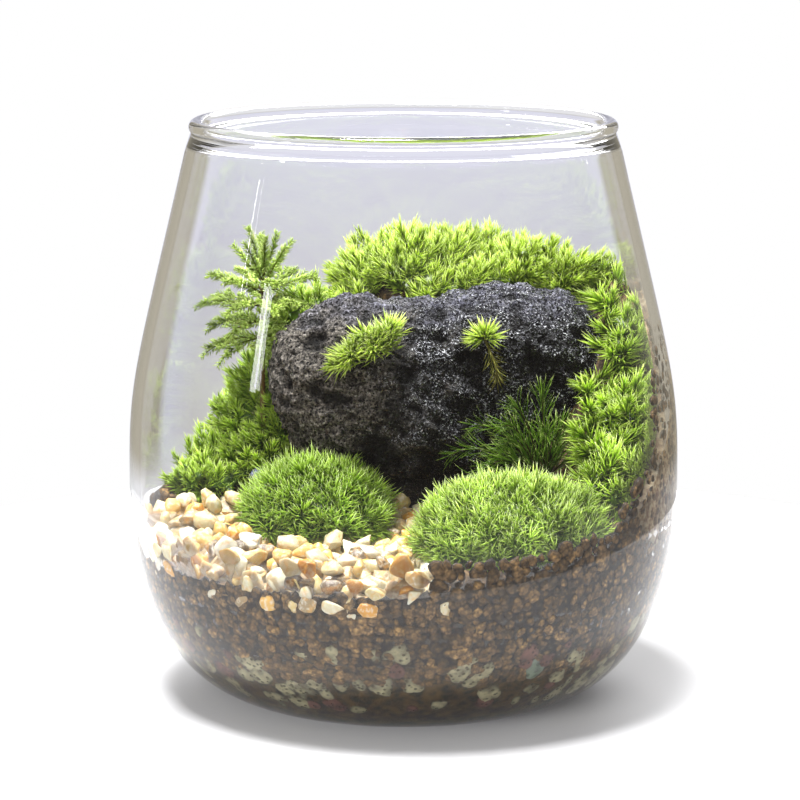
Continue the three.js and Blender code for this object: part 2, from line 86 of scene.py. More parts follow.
# %% Camera
CAMERA_AT = Vector((0, -550 * MM, 156.35 * MM))
CAMERA_TILT = math.radians(10.44)
CAMERA_LENS = 132.6
PICTURE_WIDTH = 800
JAR_AXIS_COLUMN = 403.5

camera = in_scene("camera", bpy.data.cameras.new("camera"))
camera.location = CAMERA_AT
camera.rotation_euler = (math.pi / 2 - CAMERA_TILT, 0, 0)
camera.data.lens = CAMERA_LENS
camera.data.shift_x = (PICTURE_WIDTH / 2 - JAR_AXIS_COLUMN) / PICTURE_WIDTH
camera.data.clip_start = 10 * MM
scene.camera = camera
print("camera:", tuple(round(v, 3) for v in CAMERA_AT))

# %% [markdown]
# ## The studio
#
# Glass shows what is round it, so the room matters as much as the glass. The real jar stands on a
# white table in front of a grey wall, and where the glass turns away it bends in warmer parts of the
# room. The sky here is built like that: a lilac grey band at eye height that turns warm towards the
# sides, and white above and below it. Beside and behind the camera the room is dark, or its mirror
# image would lie over the planting like a veil. What the camera sees directly is plain white.

# %% Small helpers for nodes
def colour(*parts):
    """A shader's colour, from one brightness or from red, green and blue as on a screen, 0 to 255."""
    if len(parts) == 1:
        return (*parts * 3, 1)
    shares = [part / 255 for part in parts]
    return (*[s / 12.92 if s <= 0.04045 else ((s + 0.055) / 1.055) ** 2.4 for s in shares], 1)


def add(tree, kind, settings=None, **properties):
    """Adds a node, sets its properties, and fills or links the inputs named in settings."""
    node = tree.nodes.new("ShaderNode" + kind)
    for name, value in properties.items():
        setattr(node, name, value)
    for name, value in (settings or {}).items():
        if isinstance(value, bpy.types.NodeSocket):
            tree.links.new(value, node.inputs[name])
        else:
            node.inputs[name].default_value = value
    return node


def math_node(tree, operation, *values):
    """One sum of values or sockets."""
    return add(tree, "Math", dict(enumerate(values)), operation=operation).outputs[0]


def ramp(tree, share, *stops):
    """Colours along a value from 0 to 1. Each stop is a place and then the parts of its colour."""
    node = add(tree, "ValToRGB", {"Fac": share})
    band = node.color_ramp
    while len(band.elements) < len(stops):
        band.elements.new(1)
    for element, (place, *parts) in zip(band.elements, stops):
        element.position = place
        element.color = colour(*parts)
    return node.outputs["Color"]


def mix(tree, share, first, second, blend="MIX"):
    """Two colours laid over each other, given as sockets or as tuples with the parts of a colour."""
    node = add(tree, "Mix", data_type="RGBA", blend_type=blend)
    colours = [socket for socket in node.inputs if socket.type == "RGBA"]
    for socket, value in zip([node.inputs[0], *colours], [share, first, second]):
        if isinstance(value, bpy.types.NodeSocket):
            tree.links.new(value, socket)
        else:
            socket.default_value = colour(*value) if isinstance(value, tuple) else value
    return next(socket for socket in node.outputs if socket.type == "RGBA")


def times(tree, first, second):
    """Two colours multiplied."""
    return mix(tree, 1.0, first, second, "MULTIPLY")


# %% The room's light
WHITE = (255, 255, 255)
PAPER = (240, 240, 242)
WALL_LOW = (214, 212, 210)
WALL_HIGH = (229, 229, 243)
LILAC_EDGE = (240, 240, 255)
WARM_SHADE = (182, 176, 160)
DARK_ROOM = (88, 84, 80)
DIM_ROOM = (130, 126, 122)
TABLE_EDGE_HEIGHT = -0.19  # the sine of the angle under which the table's far edge is seen

world = bpy.data.worlds.new("studio")
world.use_nodes = True
scene.world = world
sky = world.node_tree
direction = add(sky, "TexCoord").outputs["Generated"]
part = add(sky, "SeparateXYZ", {0: direction}).outputs
height = math_node(sky, "MULTIPLY_ADD", part["Z"], 0.5, 0.5)


def sky_band(low, high, top=0.5, bottom=TABLE_EDGE_HEIGHT - 0.02):
    """A band at eye height from one colour up to another, white below bottom and from top up, both sines."""
    sines = (bottom, TABLE_EDGE_HEIGHT, TABLE_EDGE_HEIGHT / 2, top * 0.3, top)
    colours = (PAPER, low, high, high, PAPER)
    return ramp(sky, height, *[((1 + sine) / 2, *parts) for sine, parts in zip(sines, colours)])


def squared(value):
    """A value times itself."""
    return math_node(sky, "MULTIPLY", value, value)


across = math_node(sky, "MULTIPLY", part["X"], part["Y"])
turned = math_node(sky, "DIVIDE", across, math_node(sky, "ADD", squared(part["X"]), squared(part["Y"])))
between = math_node(sky, "MULTIPLY", squared(turned), 8)
edge = ramp(sky, between, (0.12, 0), (0.22, 1))
warmth = ramp(sky, between, (0.25, 0), (0.33, 1))
wall = mix(sky, edge, sky_band(WALL_LOW, WALL_HIGH), sky_band(WALL_HIGH, LILAC_EDGE))
lit_room = mix(sky, warmth, wall, sky_band(WARM_SHADE, WARM_SHADE))
beyond_jar = ramp(sky, part["Y"], (0.4, 0), (0.75, 1))
towards_camera = ramp(sky, math_node(sky, "MULTIPLY", part["Y"], -1.0), (0.05, 0), (0.4, 1))
beside_jar = sky_band(DIM_ROOM, DARK_ROOM, 0.9, -0.3)
behind_camera = sky_band(DIM_ROOM, DARK_ROOM, 0.9, -0.42)
dark_side = mix(sky, towards_camera, beside_jar, behind_camera)
room_colour = mix(sky, beyond_jar, dark_side, lit_room)
seen_plainly = add(sky, "LightPath").outputs["Is Camera Ray"]
sky.links.new(mix(sky, seen_plainly, room_colour, WHITE), sky.nodes["Background"].inputs["Color"])
sky.nodes["Background"].inputs["Strength"].default_value = 1.0
scene.view_settings.view_transform = "Standard"
print("studio sky ready")

# %% [markdown]
# ## Lamps
#
# A wide lamp overhead does most of the work, a weaker one beside the camera opens the shadows, and
# one behind lights the leaves from the back, which makes moss glow. Narrow upright lamps at the
# sides touch the planting very little: they are there to draw the long streaks on the glass.

# %% Lamps
LOOK_AT = Vector((0, 0, 50 * MM))
STREAK_DISTANCE = 0.5


def lamp(name, at, size, power, look_at=LOOK_AT):
    """A rectangular lamp that faces a point."""
    light = bpy.data.lights.new(name, "AREA")
    light.shape = "RECTANGLE"
    light.size, light.size_y = size
    light.energy = power
    holder = in_scene(name, light)
    holder.location = at
    holder.rotation_euler = (look_at - Vector(at)).to_track_quat("-Z", "Y").to_euler()
    return holder


def streak_lamp(name, azimuth, height, size, power):
    """A narrow upright lamp. The azimuth is in degrees, from the camera's side of the jar to the right."""
    turn = math.radians(azimuth)
    at = Vector((math.sin(turn) * STREAK_DISTANCE, -math.cos(turn) * STREAK_DISTANCE, height))
    lamp(name, at, size, power, UP * height)


lamp("overhead", (-0.07, -0.04, 0.62), (0.19, 0.16), 11.0)
lamp("behind", (0.10, 0.50, 0.40), (0.45, 0.25), 4.0)
front = lamp("front", (-0.24, -0.60, 0.42), (0.40, 0.30), 3.6)
front.visible_glossy = False
front.visible_transmission = False
streak_lamp("left streak", -63.5, 0.167, (0.026, 0.068), 0.07)
streak_lamp("thin left streak", -77, 0.21, (0.002, 0.06), 0.012)
streak_lamp("thin right streak", 108, 0.235, (0.0025, 0.068), 0.014)
print("lamps:", len(bpy.data.lights))

# %% [markdown]
# ## Making pieces
#
# Most pieces here are one small shape repeated: a grain, a pebble, a leaf. The shape is made once
# with mesh operators and then stamped into one growing mesh, turned and scaled each time. That is
# faster than joining objects, and it leaves one clean object for each piece.

# %% Helpers for meshes
SAME_PLACE = 0.001 * MM


def as_mesh(bed, name, smooth=False):
    """Keeps a bmesh as a mesh and lets go of the bmesh."""
    mesh = bpy.data.meshes.new(name)
    bed.to_mesh(mesh)
    bed.free()
    if smooth:
        mesh.shade_smooth()
    return mesh


def carry(bed, name, value=0.0):
    """Gives each corner a value of this name, for a material to read."""
    layer = bed.verts.layers.float.new(name)
    for corner in bed.verts:
        corner[layer] = value
    return layer


def stamp(bed, shape, place):
    """Adds one placed copy of a small mesh to a growing bmesh."""
    copy = shape.copy()
    copy.transform(place)
    bed.from_mesh(copy)
    bpy.data.meshes.remove(copy)


def aimed(spot, way):
    """The placing that sets a shape at a spot with its Z axis along a way."""
    return Matrix.Translation(spot) @ way.to_track_quat("Z", "Y").to_matrix().to_4x4()


def random_vector(stream, reach=1):
    """Three random numbers, each up to reach away from nought."""
    return Vector([stream.uniform(-reach, reach) for _ in range(3)])


def closed(bed):
    """Joins what meets and turns all faces outwards."""
    bmesh.ops.remove_doubles(bed, verts=bed.verts, dist=SAME_PLACE)
    bmesh.ops.recalc_face_normals(bed, faces=bed.faces)
    return bed


def lathed(outline, steps):
    """A bmesh of an outline in the XZ plane, spun once round the axis."""
    bed = bmesh.new()
    corners = [bed.verts.new(point) for point in outline]
    edges = [bed.edges.new(pair) for pair in zip(corners, corners[1:])]
    settings = {"axis": UP, "cent": (0, 0, 0), "angle": FULL_TURN, "steps": steps, "use_merge": True}
    bmesh.ops.spin(bed, geom=corners + edges, **settings)
    return closed(bed)


def piece(name, mesh, materials, slot, *nodes):
    """Makes a finished mesh a piece of the terrarium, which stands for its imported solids."""
    mesh.name = name
    for material in materials:
        mesh.materials.append(material)
    made = in_scene(name, mesh)
    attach(made, "root")
    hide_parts(*nodes)
    mesh.calc_loop_triangles()
    print(f"{name}: {len(mesh.loop_triangles)} triangles")


# %% Helpers for materials
def new_material(name, roughness, **sockets):
    """A material with its Principled shader, whose plain values are set on the shader itself."""
    material = bpy.data.materials.new(name)
    material.use_nodes = True
    tree = material.node_tree
    shader = tree.nodes["Principled BSDF"]
    shader.inputs["Roughness"].default_value = roughness
    for socket, value in sockets.items():
        shader.inputs[socket.replace("_", " ")].default_value = value
    return material, tree, shader


def pattern(tree, kind, size, **settings):
    """A random pattern of about this size, laid by the point's own place on the object."""
    own_place = add(tree, "TexCoord").outputs["Object"]
    return add(tree, kind, {"Vector": own_place, "Scale": 1 / size, **settings}).outputs


def cloud(tree, size, detail=3.0, roughness=0.5):
    """Soft random patches of about this size."""
    return pattern(tree, "TexNoise", size, Detail=detail, Roughness=roughness)["Fac"]


def cells(tree, size):
    """The distance to the middle of random cells of about this size."""
    return pattern(tree, "TexVoronoi", size)["Distance"]


def cell_tone(tree, size):
    """A random value for each random cell of about this size."""
    return add(tree, "SeparateColor", {0: pattern(tree, "TexVoronoi", size)["Color"]}).outputs[0]


def own(tree, name):
    """A value that the mesh itself carries at each point."""
    return add(tree, "Attribute", attribute_name=name).outputs["Fac"]


def paint(tree, shader, base_colour):
    """Links a colour to the shader."""
    tree.links.new(base_colour, shader.inputs["Base Color"])


def bump(tree, shader, relief, depth, strength=1.0, under=None):
    """Raises the surface by a relief from 0 to 1, this deep at its highest, over another bump."""
    settings = {"Height": relief, "Distance": depth, "Strength": strength}
    if under is not None:
        settings["Normal"] = under
    normal = add(tree, "Bump", settings).outputs["Normal"]
    tree.links.new(normal, shader.inputs["Normal"])
    return normal


# %% Table
TABLE_RADIUS = 150 * MM
TABLE_MIDDLE = 42 * MM  # behind the jar, so that the far edge shows low through the glass
TABLE_TOP = -0.2 * MM
TABLE_PAINT = colour(194, 194, 195)

bed = bmesh.new()
bmesh.ops.create_circle(bed, cap_ends=True, segments=96, radius=TABLE_RADIUS)
bmesh.ops.translate(bed, verts=bed.verts, vec=(0, TABLE_MIDDLE, TABLE_TOP))
table = in_scene("table", as_mesh(bed, "table"))
table.data.materials.append(new_material("white table", 0.9, Base_Color=TABLE_PAINT)[0])
print("table radius:", TABLE_RADIUS)

# %% [markdown]
# ## The glass jar
#
# The jar is one blown piece: an even wall that runs from a thick flat foot round the belly to a
# mouth with a rolled rim. It could be a subdivided cage, but glass shows every flat spot, so its
# outline is drawn from two curves and spun round the axis in many steps. The inside is the same
# outline, thinner by the wall, so that the wall refracts as a real one does.

# %% The jar's sizes
JAR_HEIGHT = 108.5 * MM
BELLY_RADIUS = 52 * MM
BELLY_HEIGHT = 40.5 * MM
FOOT_RADIUS = 29.5 * MM
MOUTH_RADIUS = 39.4 * MM
MOUTH_SLOPE = math.radians(13.5)
WALL = 2 * MM
FLOOR = 4 * MM
RIM_RADIUS = 1.4 * MM
RIM_PROUD = 0.65 * MM
FOOT_ROUNDING = 8.7 * MM
LOWER_HANDLE = 31 * MM
UPPER_HANDLE = 19.5 * MM
MOUTH_HANDLE = 49.5 * MM
CURVE_STEPS = 26
SPIN_STEPS = 200
RIM_STEPS = 14


def wall_outline(inset, floor):
    """The wall from the foot's edge to the mouth, in the XZ plane, thinner than the outside by inset."""
    foot = FOOT_RADIUS - inset * 1.4
    mouth = MOUTH_RADIUS - inset
    belly = Vector((BELLY_RADIUS - inset, 0, BELLY_HEIGHT))
    lower = interpolate_bezier(
        Vector((foot, 0, floor)),
        Vector((foot + FOOT_ROUNDING, 0, floor)),
        belly - UP * (LOWER_HANDLE - floor * 0.8),
        belly,
        CURVE_STEPS,
    )
    out = mouth + MOUTH_HANDLE * math.sin(MOUTH_SLOPE)
    upper = interpolate_bezier(
        belly,
        belly + UP * UPPER_HANDLE,
        Vector((out, 0, JAR_HEIGHT - MOUTH_HANDLE * math.cos(MOUTH_SLOPE))),
        Vector((mouth, 0, JAR_HEIGHT)),
        CURVE_STEPS,
    )
    return lower + upper[1:]


inner_wall = wall_outline(WALL, FLOOR)
room_heights = [point.z for point in inner_wall]
room_radii = [point.x for point in inner_wall]


def room_radius(height):
    """The inside radius of the jar at a height."""
    return float(np.interp(height, room_heights, room_radii))


print("belly inside:", round(room_radius(BELLY_HEIGHT), 4))

# %% Glass
GLASS_TINT = (0.985, 0.985, 0.992, 1)

clear = {"IOR": 1.47, "Transmission_Weight": 1.0, "Base_Color": GLASS_TINT}
glass, tree, shader = new_material("clear glass", 0.0, **clear)
rays = add(tree, "LightPath").outputs
passing = math_node(tree, "MAXIMUM", rays["Is Shadow Ray"], rays["Is Diffuse Ray"])
open_way = add(tree, "BsdfTransparent", {"Color": GLASS_TINT})
glazing = add(tree, "MixShader", {0: passing, 1: shader.outputs[0], 2: open_way.outputs[0]})
tree.links.new(glazing.outputs[0], tree.nodes["Material Output"].inputs["Surface"])
print("glass:", glass.name)

# %% The jar
def jar_mesh():
    """The whole section of the wall, spun once round the axis."""
    below_rim = JAR_HEIGHT - 2 * RIM_RADIUS
    rim_middle = Vector((MOUTH_RADIUS + RIM_PROUD - RIM_RADIUS, 0, JAR_HEIGHT - RIM_RADIUS))
    rim = []
    for step in range(RIM_STEPS + 1):
        angle = math.radians(-45 + 270 * step / RIM_STEPS)
        rim.append(rim_middle + RIM_RADIUS * Vector((math.cos(angle), 0, math.sin(angle))))
    outside = [point for point in wall_outline(0, 0) if point.z < below_rim]
    inside = [point for point in inner_wall if point.z < below_rim]
    outline = [Vector((0, 0, 0)), *outside, *rim, *reversed(inside), Vector((0, 0, FLOOR))]
    return as_mesh(lathed(outline, SPIN_STEPS), "jar", smooth=True)


piece("blown_glass_jar", jar_mesh(), [glass], "glass", "glass_jar")

# %% [markdown]
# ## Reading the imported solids
#
# The ground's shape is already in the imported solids, so grains and shoots are set on them instead
# of on a formula. A search tree answers where a ray meets a solid. A solid that is only a rough
# guide, such as a bristled moss cushion, is first rebuilt from even faces and smoothed.

# %% Helpers that read the solids
def joined_copy(name):
    """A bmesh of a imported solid, with its loose triangles joined."""
    bed = bmesh.new()
    bed.from_mesh(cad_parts[name].data)
    bmesh.ops.remove_doubles(bed, verts=bed.verts, dist=SAME_PLACE)
    return bed


def search_tree(*names):
    """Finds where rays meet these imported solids."""
    bed = bmesh.new()
    for name in names:
        bed.from_mesh(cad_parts[name].data)
    found = BVHTree.FromBMesh(bed)
    bed.free()
    return found


def evaluated(holder):
    """The mesh that an object becomes with its modifiers or its bevel. The object goes."""
    shaped = holder.evaluated_get(bpy.context.evaluated_depsgraph_get())
    mesh = bpy.data.meshes.new_from_object(shaped)
    bpy.data.objects.remove(holder)
    return mesh


def rebuilt(name, face_size, relax, grow=0.0):
    """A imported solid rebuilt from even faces, with its bumps eased and its surface moved outwards."""
    holder = in_scene(name, as_mesh(joined_copy(name), name))
    even = holder.modifiers.new("even faces", "REMESH")
    even.mode = "VOXEL"
    even.voxel_size = face_size
    ease = holder.modifiers.new("ease", "SMOOTH")
    ease.factor = 0.5
    ease.iterations = relax
    swell = holder.modifiers.new("swell", "DISPLACE")
    swell.mid_level = 0
    swell.strength = grow
    return evaluated(holder)


def scattered(mesh, spacing, seed, darts_for_each=7):
    """Places on a mesh with the way they face, none nearer to another than the spacing."""
    stream = random.Random(seed)
    mesh.calc_loop_triangles()
    triangles = list(mesh.loop_triangles)
    areas = [triangle.area for triangle in triangles]
    taken = {}
    found = []
    steps = (-1, 0, 1)
    for triangle in stream.choices(triangles, areas, k=int(darts_for_each * sum(areas) / spacing**2)):
        a, b, c = (mesh.vertices[index].co for index in triangle.vertices)
        s, t = sorted((stream.random(), stream.random()))
        point = a * s + b * (t - s) + c * (1 - t)
        x, y, z = (math.floor(value / spacing) for value in point)
        cells_around = [(x + i, y + j, z + k) for i in steps for j in steps for k in steps]
        around = [other for cell in cells_around for other in taken.get(cell, ())]
        if all((point - other).length >= spacing for other in around):
            taken.setdefault((x, y, z), []).append(point)
            found.append((point, triangle.normal.copy()))
    return found


def press_to_glass(mesh, gap=0.15 * MM):
    """What reaches the jar's wall is laid flat against it."""
    points = np.empty(len(mesh.vertices) * 3)
    mesh.vertices.foreach_get("co", points)
    points = points.reshape(-1, 3)
    reach = np.maximum(np.hypot(points[:, 0], points[:, 1]), 0.1 * MM)
    allowed = np.interp(points[:, 2], room_heights, room_radii) - gap
    points[:, :2] *= np.minimum(1, allowed / reach)[:, None]
    mesh.vertices.foreach_set("co", points.ravel())
    mesh.update()


def write_values(mesh, name, values):
    """Gives a finished mesh a value on each corner."""
    mesh.attributes.new(name, "FLOAT", "POINT").data.foreach_set("value", values)


def seated(mesh, contact):
    """Lets a mesh into the wall by contact at most. Its value pressed is 0.5 at the wall's inside and
    1 at full contact."""
    press_to_glass(mesh, -contact)
    beyond = [corner.co.xy.length - room_radius(corner.co.z) for corner in mesh.vertices]
    values = [max(0, 0.5 + 0.5 * depth / contact) for depth in beyond]
    write_values(mesh, "pressed", values)
    return mesh


ground = search_tree("soil_bank", "lava_rock", "drainage_stones")
soil_only = search_tree("soil_bank")
gravel_only = search_tree("gravel_bed")
cover = search_tree("lava_rock", "gravel_bed", *[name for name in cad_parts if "moss" in name])
print("search trees ready")

# %% [markdown]
# ## The soil
#
# Terrarium soil is baked clay and bark in grains of one to three millimetres. From outside one sees
# single grains pressed against the glass. A bumped surface would look like a wall of mud from the
# side, so real grains are laid along the glass and on the open ground, over a core of the same
# colour. The soil is wet, and water joins each grain to the glass so that it shows right out to the
# jar's outline. The grains therefore reach a hair into the wall. The little light that falls into
# the gaps between them is drawn by the material: a value on each corner, called pressed, tells how
# far it stands into the wall, and the rim of each grain and what is behind it are shaded by that.

# %% Soil material
# how light a point is, by its place: deep inside, at the glass but hollow, and pressed to it
GAP_SHADE = ((0.0, 1), (0.3, 0.2), (0.56, 0.25), (0.68, 0.7), (0.92, 1))
GRAIN_BROWNS = (
    (0.0, 34, 26, 16),
    (0.2, 80, 62, 38),
    (0.5, 116, 90, 54),
    (0.8, 142, 111, 68),
    (1.0, 170, 134, 80),
)
FILM_BROWNS = ((0.4, 112, 78, 44), (0.5, 160, 136, 98), (0.6, 186, 170, 136))

soil, tree, shader = new_material("baked clay soil", 0.85)
own_share = math_node(tree, "MULTIPLY", own(tree, "tone"), 0.6)
crumb_tone = math_node(tree, "MULTIPLY_ADD", cell_tone(tree, 0.9 * MM), 0.5, own_share)
grain_colour = ramp(tree, crumb_tone, *GRAIN_BROWNS)
# painted shade: each crumb is darker towards its edge, where the gaps between crumbs lie
crumb_edge_shade = ramp(tree, cells(tree, 0.9 * MM), (0.36, 1), (0.7, 0.34))
specks = ramp(tree, cloud(tree, 0.4 * MM, 4), (0.42, 0), (0.75, 1))
speckled = mix(tree, specks, times(tree, grain_colour, crumb_edge_shade), (46, 34, 20))
shaded = times(tree, speckled, ramp(tree, own(tree, "pressed"), *GAP_SHADE))
film = ramp(tree, cloud(tree, 1.1 * MM, 5, 0.65), *FILM_BROWNS)
paint(tree, shader, mix(tree, own(tree, "film"), shaded, film))
bump(tree, shader, cloud(tree, 0.35 * MM, 4, 0.65), 0.18 * MM, 0.9)

# %% Soil grains
GRAIN_STEP = 1.95 * MM
GRAIN_RADIUS = 1.3 * MM
GRAIN_KINDS = 16
GRAIN_SIZES = (0.6, 0.75, 0.9, 1.05, 1.2)
GRAIN_DEPTH = 0.15 * MM
PRESSED_FLAT = 0.4
FILM_GRAIN_SIZE = 0.65
LOOSE_SHARE = 0.4
NEAR_WALL = 3.4 * MM
BEHIND_WALL = 2.6 * MM
SOIL_LOW = 12.6 * MM
SOIL_HIGH = 76 * MM
ROW_SHARE = 0.87  # rows lie closer together than the places in a row
FILM_SIDES = (50, 64, 98, 110)  # degrees from the front to the right
FILM_HEIGHTS = (26, 38)  # millimetres
WET_CONTACT = 0.45 * MM
STONE_CONTACT = 0.7 * MM


def lump(detail, radius, roughness, stretch, seed, tone=0.0):
    """A rough lump: a ball of few faces whose corners are pushed in and out. Detail 1 is the coarsest."""
    stream = random.Random(seed)
    bed = bmesh.new()
    if detail > 1:
        bmesh.ops.create_icosphere(bed, subdivisions=detail, radius=radius)
    else:
        bmesh.ops.create_uvsphere(bed, u_segments=7, v_segments=4, radius=radius)
    bmesh.ops.scale(bed, verts=bed.verts, vec=[1 + stretch * stream.uniform(-1, 1) for _ in range(3)])
    shift = Vector([stream.uniform(0, 9) for _ in range(3)])
    carry(bed, "tone", tone)
    for corner in bed.verts:
        corner.co *= 1 + roughness * noise.noise(corner.co / radius * 1.1 + shift)
    return as_mesh(bed, "lump", smooth=True)


grain_tones = [0.1 + 0.9 * (kind / (GRAIN_KINDS - 1)) ** 1.3 for kind in range(GRAIN_KINDS)]
grains = [lump(1, GRAIN_RADIUS, 0.5, 0.22, kind, tone) for kind, tone in enumerate(grain_tones)]


def tumbled(spot, stream):
    """The placing that sets a lump at a spot, any way up."""
    axis = random_vector(stream).normalized()
    return Matrix.Translation(spot) @ Matrix.Rotation(stream.uniform(0, FULL_TURN), 4, axis)


def wall_slope(height):
    """How much the inside of the wall leans outwards for each step up."""
    return (room_radius(height + 0.5 * MM) - room_radius(height - 0.5 * MM)) / MM


def wall_distance(point):
    """How far a point is from the inside of the wall."""
    return room_radius(point.z) - point.xy.length


def laid_out(corner, beyond):
    """Moves a corner straight out to the wall, and a hair beyond."""
    corner.co.xy *= (room_radius(corner.co.z) + beyond) / corner.co.xy.length


def wall_places(step, lowest, highest, stream):
    """Places in rows round the jar's wall, as (height, angle) pairs, a step apart."""
    height = lowest
    row = 0
    while height < highest:
        count = int(FULL_TURN * room_radius(height) / step)
        for column in range(count):
            angle = FULL_TURN * (column + row % 2 / 2 + stream.uniform(-0.22, 0.22)) / count
            yield height + stream.uniform(-0.2, 0.2) * step / math.hypot(1, wall_slope(height)), angle
        height += ROW_SHARE * step / math.hypot(1, wall_slope(height))
        row += 1


def away_from_axis(angle):
    """The level way outwards at an angle round the jar."""
    return Vector((math.cos(angle), math.sin(angle), 0))


def laid_on_wall(height, angle, depth, size, flatness, stream):
    """Places a lump with its middle this deep behind the inside of the wall, pressed flatter there."""
    outwards = away_from_axis(angle)
    facing = (outwards - UP * wall_slope(height)).normalized()
    sideways = UP.cross(outwards)
    spot = outwards * room_radius(height) + UP * height - facing * depth
    axes = Matrix((sideways, facing.cross(sideways), facing)).transposed().to_4x4()
    turn = Matrix.Rotation(stream.uniform(0, FULL_TURN), 4, "Z")
    return Matrix.Translation(spot) @ axes @ Matrix.Diagonal((size, size, size * flatness, 1)) @ turn


def against_glass(solid, height, angle, depth):
    """Whether a solid stands right behind the glass here."""
    outwards = away_from_axis(angle)
    start = outwards * (room_radius(height) + 3 * MM) + UP * height
    return solid.ray_cast(start, -outwards, 3 * MM + depth)[0] is not None


# the soil's upper edge on the right wall, in millimetres, by the angle from the +X side in degrees
SOIL_EDGE = {-84: 34.5, -60: 35.5, -43: 37.5, -35: 44, -29: 50, -25: 59, -21: 67, -12: 70, 16: 71}


def lines_the_wall(height, angle):
    """Whether soil lines the glass here, outside the moss of the right bank and the right cushion."""
    turned = math.degrees((angle + math.pi) % FULL_TURN - math.pi)
    edge_here = np.interp(turned, list(SOIL_EDGE), list(SOIL_EDGE.values()), left=0, right=0)
    return 20 * MM < height < edge_here * MM


def film_here(spot):
    """How much the soil has slid down the glass and left a pale film, with a grain here and there."""
    from_front = math.degrees(math.atan2(spot.x, -spot.y))
    return np.interp(from_front, FILM_SIDES, [0, 1, 1, 0]) * np.interp(spot.z / MM, FILM_HEIGHTS, [0, 1])


def soil_core():
    """The packed soil, with more faces by the glass, where it is laid against the wall."""
    core = joined_copy("soil_bank")
    carry(core, "tone")
    film_share = carry(core, "film")
    by_wall = [edge for edge in core.edges if all(wall_distance(end.co) < NEAR_WALL for end in edge.verts)]
    bmesh.ops.subdivide_edges(core, edges=by_wall, cuts=2, use_grid_fill=True)
    for corner in core.verts:
        if wall_distance(corner.co) < NEAR_WALL:
            patchy = 0.8 + 1.5 * noise.noise(corner.co / (3 * MM))
            corner[film_share] = min(1, max(0, patchy)) * film_here(corner.co)
            laid_out(corner, 0.05 * MM)
    return core


def soil_mesh():
    """The core with its grains along the glass and on open ground."""
    stream = random.Random(4)
    core = soil_core()
    for height, angle in wall_places(GRAIN_STEP, SOIL_LOW, SOIL_HIGH, stream):
        if not against_glass(soil_only, height, angle, BEHIND_WALL) and not lines_the_wall(height, angle):
            continue
        size = stream.choice(GRAIN_SIZES)
        place = laid_on_wall(height, angle, GRAIN_DEPTH, size, PRESSED_FLAT, stream)
        if film_here(place.translation) > 0.5:
            if stream.random() < LOOSE_SHARE:
                continue
            place = laid_on_wall(height, angle, 0, size * FILM_GRAIN_SIZE, PRESSED_FLAT, stream)
        stamp(core, stream.choice(grains), place)
    steps = range(-27, 28)
    for column, row in [(column, row) for column in steps for row in steps]:
        x = (column + stream.uniform(-0.3, 0.3)) * GRAIN_STEP
        y = (row + stream.uniform(-0.3, 0.3)) * GRAIN_STEP
        spot = soil_only.ray_cast(Vector((x, y, JAR_HEIGHT)), -UP)[0]
        if spot is None or cover.ray_cast(spot + UP * 0.2 * MM, UP, 3 * MM)[0] is not None:
            continue
        place = tumbled(spot, stream) @ Matrix.Scale(stream.uniform(0.7, 1.2), 4)
        stamp(core, stream.choice(grains), place)
    return as_mesh(core, "soil")


piece("soil_grains", seated(soil_mesh(), WET_CONTACT), [soil], "soil", "soil_bank")

# %% [markdown]
# ## The drainage stones
#
# Pumice and red lava lie on the jar's floor so that the roots never stand in water. Pumice is pale
# and full of holes, which are too many to model: the stone's rough shape is in its mesh, and its
# holes are pits made by the material, as bumps darkened with painted shade. Between the stones lies
# what has washed down from above.

# %% Materials of the drainage layer
def pitted_stone(name, pale, dark, pit_size, roughness=0.9):
    """A stone with open pores: pits that are deep by the bump and dark by painted shade."""
    material, tree, shader = new_material(name, roughness)
    pits = ramp(tree, cells(tree, pit_size), (0.16, 0), (0.4, 1))
    stains = ramp(tree, cloud(tree, 2.0 * MM, 4), (0.4, 0), (0.75, 1))
    # painted shade: the pits take the dark colour, which the stains share
    shaded_pits_and_stains = mix(tree, pits, dark, mix(tree, stains, pale, dark))
    paint(tree, shader, times(tree, shaded_pits_and_stains, ramp(tree, own(tree, "pressed"), *GAP_SHADE)))
    rough = bump(tree, shader, cloud(tree, 0.5 * MM, 5, 0.7), 0.25 * MM, 0.7)
    bump(tree, shader, pits, 0.5 * MM, 1.0, rough)
    return material


silt, tree, shader = new_material("dark silt", 0.8)
paint(tree, shader, ramp(tree, cloud(tree, 1.6 * MM, 4), (0.36, 26, 20, 8), (0.66, 84, 66, 34)))
bump(tree, shader, cloud(tree, 0.8 * MM, 4), 0.4 * MM)
stone_materials = [
    silt,
    pitted_stone("pumice", (158, 152, 118), (70, 62, 42), 0.9 * MM),
    pitted_stone("red lava", (110, 74, 62), (54, 38, 30), 0.9 * MM),
    pitted_stone("pale green stone", (112, 124, 104), (74, 84, 68), 1.6 * MM, 0.6),
]

# %% Drainage stones
SILT, PUMICE, RED, GREEN = range(4)
DRAINAGE_LOW = 7.5 * MM
DRAINAGE_TOP = 18.5 * MM
STONE_STEP = 4.0 * MM
STONE_DEPTH = 0.8 * MM
STONE_FLATNESS = 0.45
SILT_TOP = 16.5 * MM
SILT_STEPS = 90
SILT_CONTACT = 0.02 * MM
GREEN_STONE_ANGLE = math.radians(-58)


def material_lump(slot, radius, seed):
    """A rough stone in one of the drainage layer's materials."""
    mesh = lump(3, radius, 0.38, 0.15, seed)
    for face in mesh.polygons:
        face.material_index = slot
    return mesh


stones = [material_lump(PUMICE if seed < 6 else RED, 3.0 * MM, seed) for seed in range(8)]
silt_lumps = [material_lump(SILT, 2.6 * MM, seed) for seed in range(8, 10)]
green_lump = material_lump(GREEN, 3.4 * MM, 12)


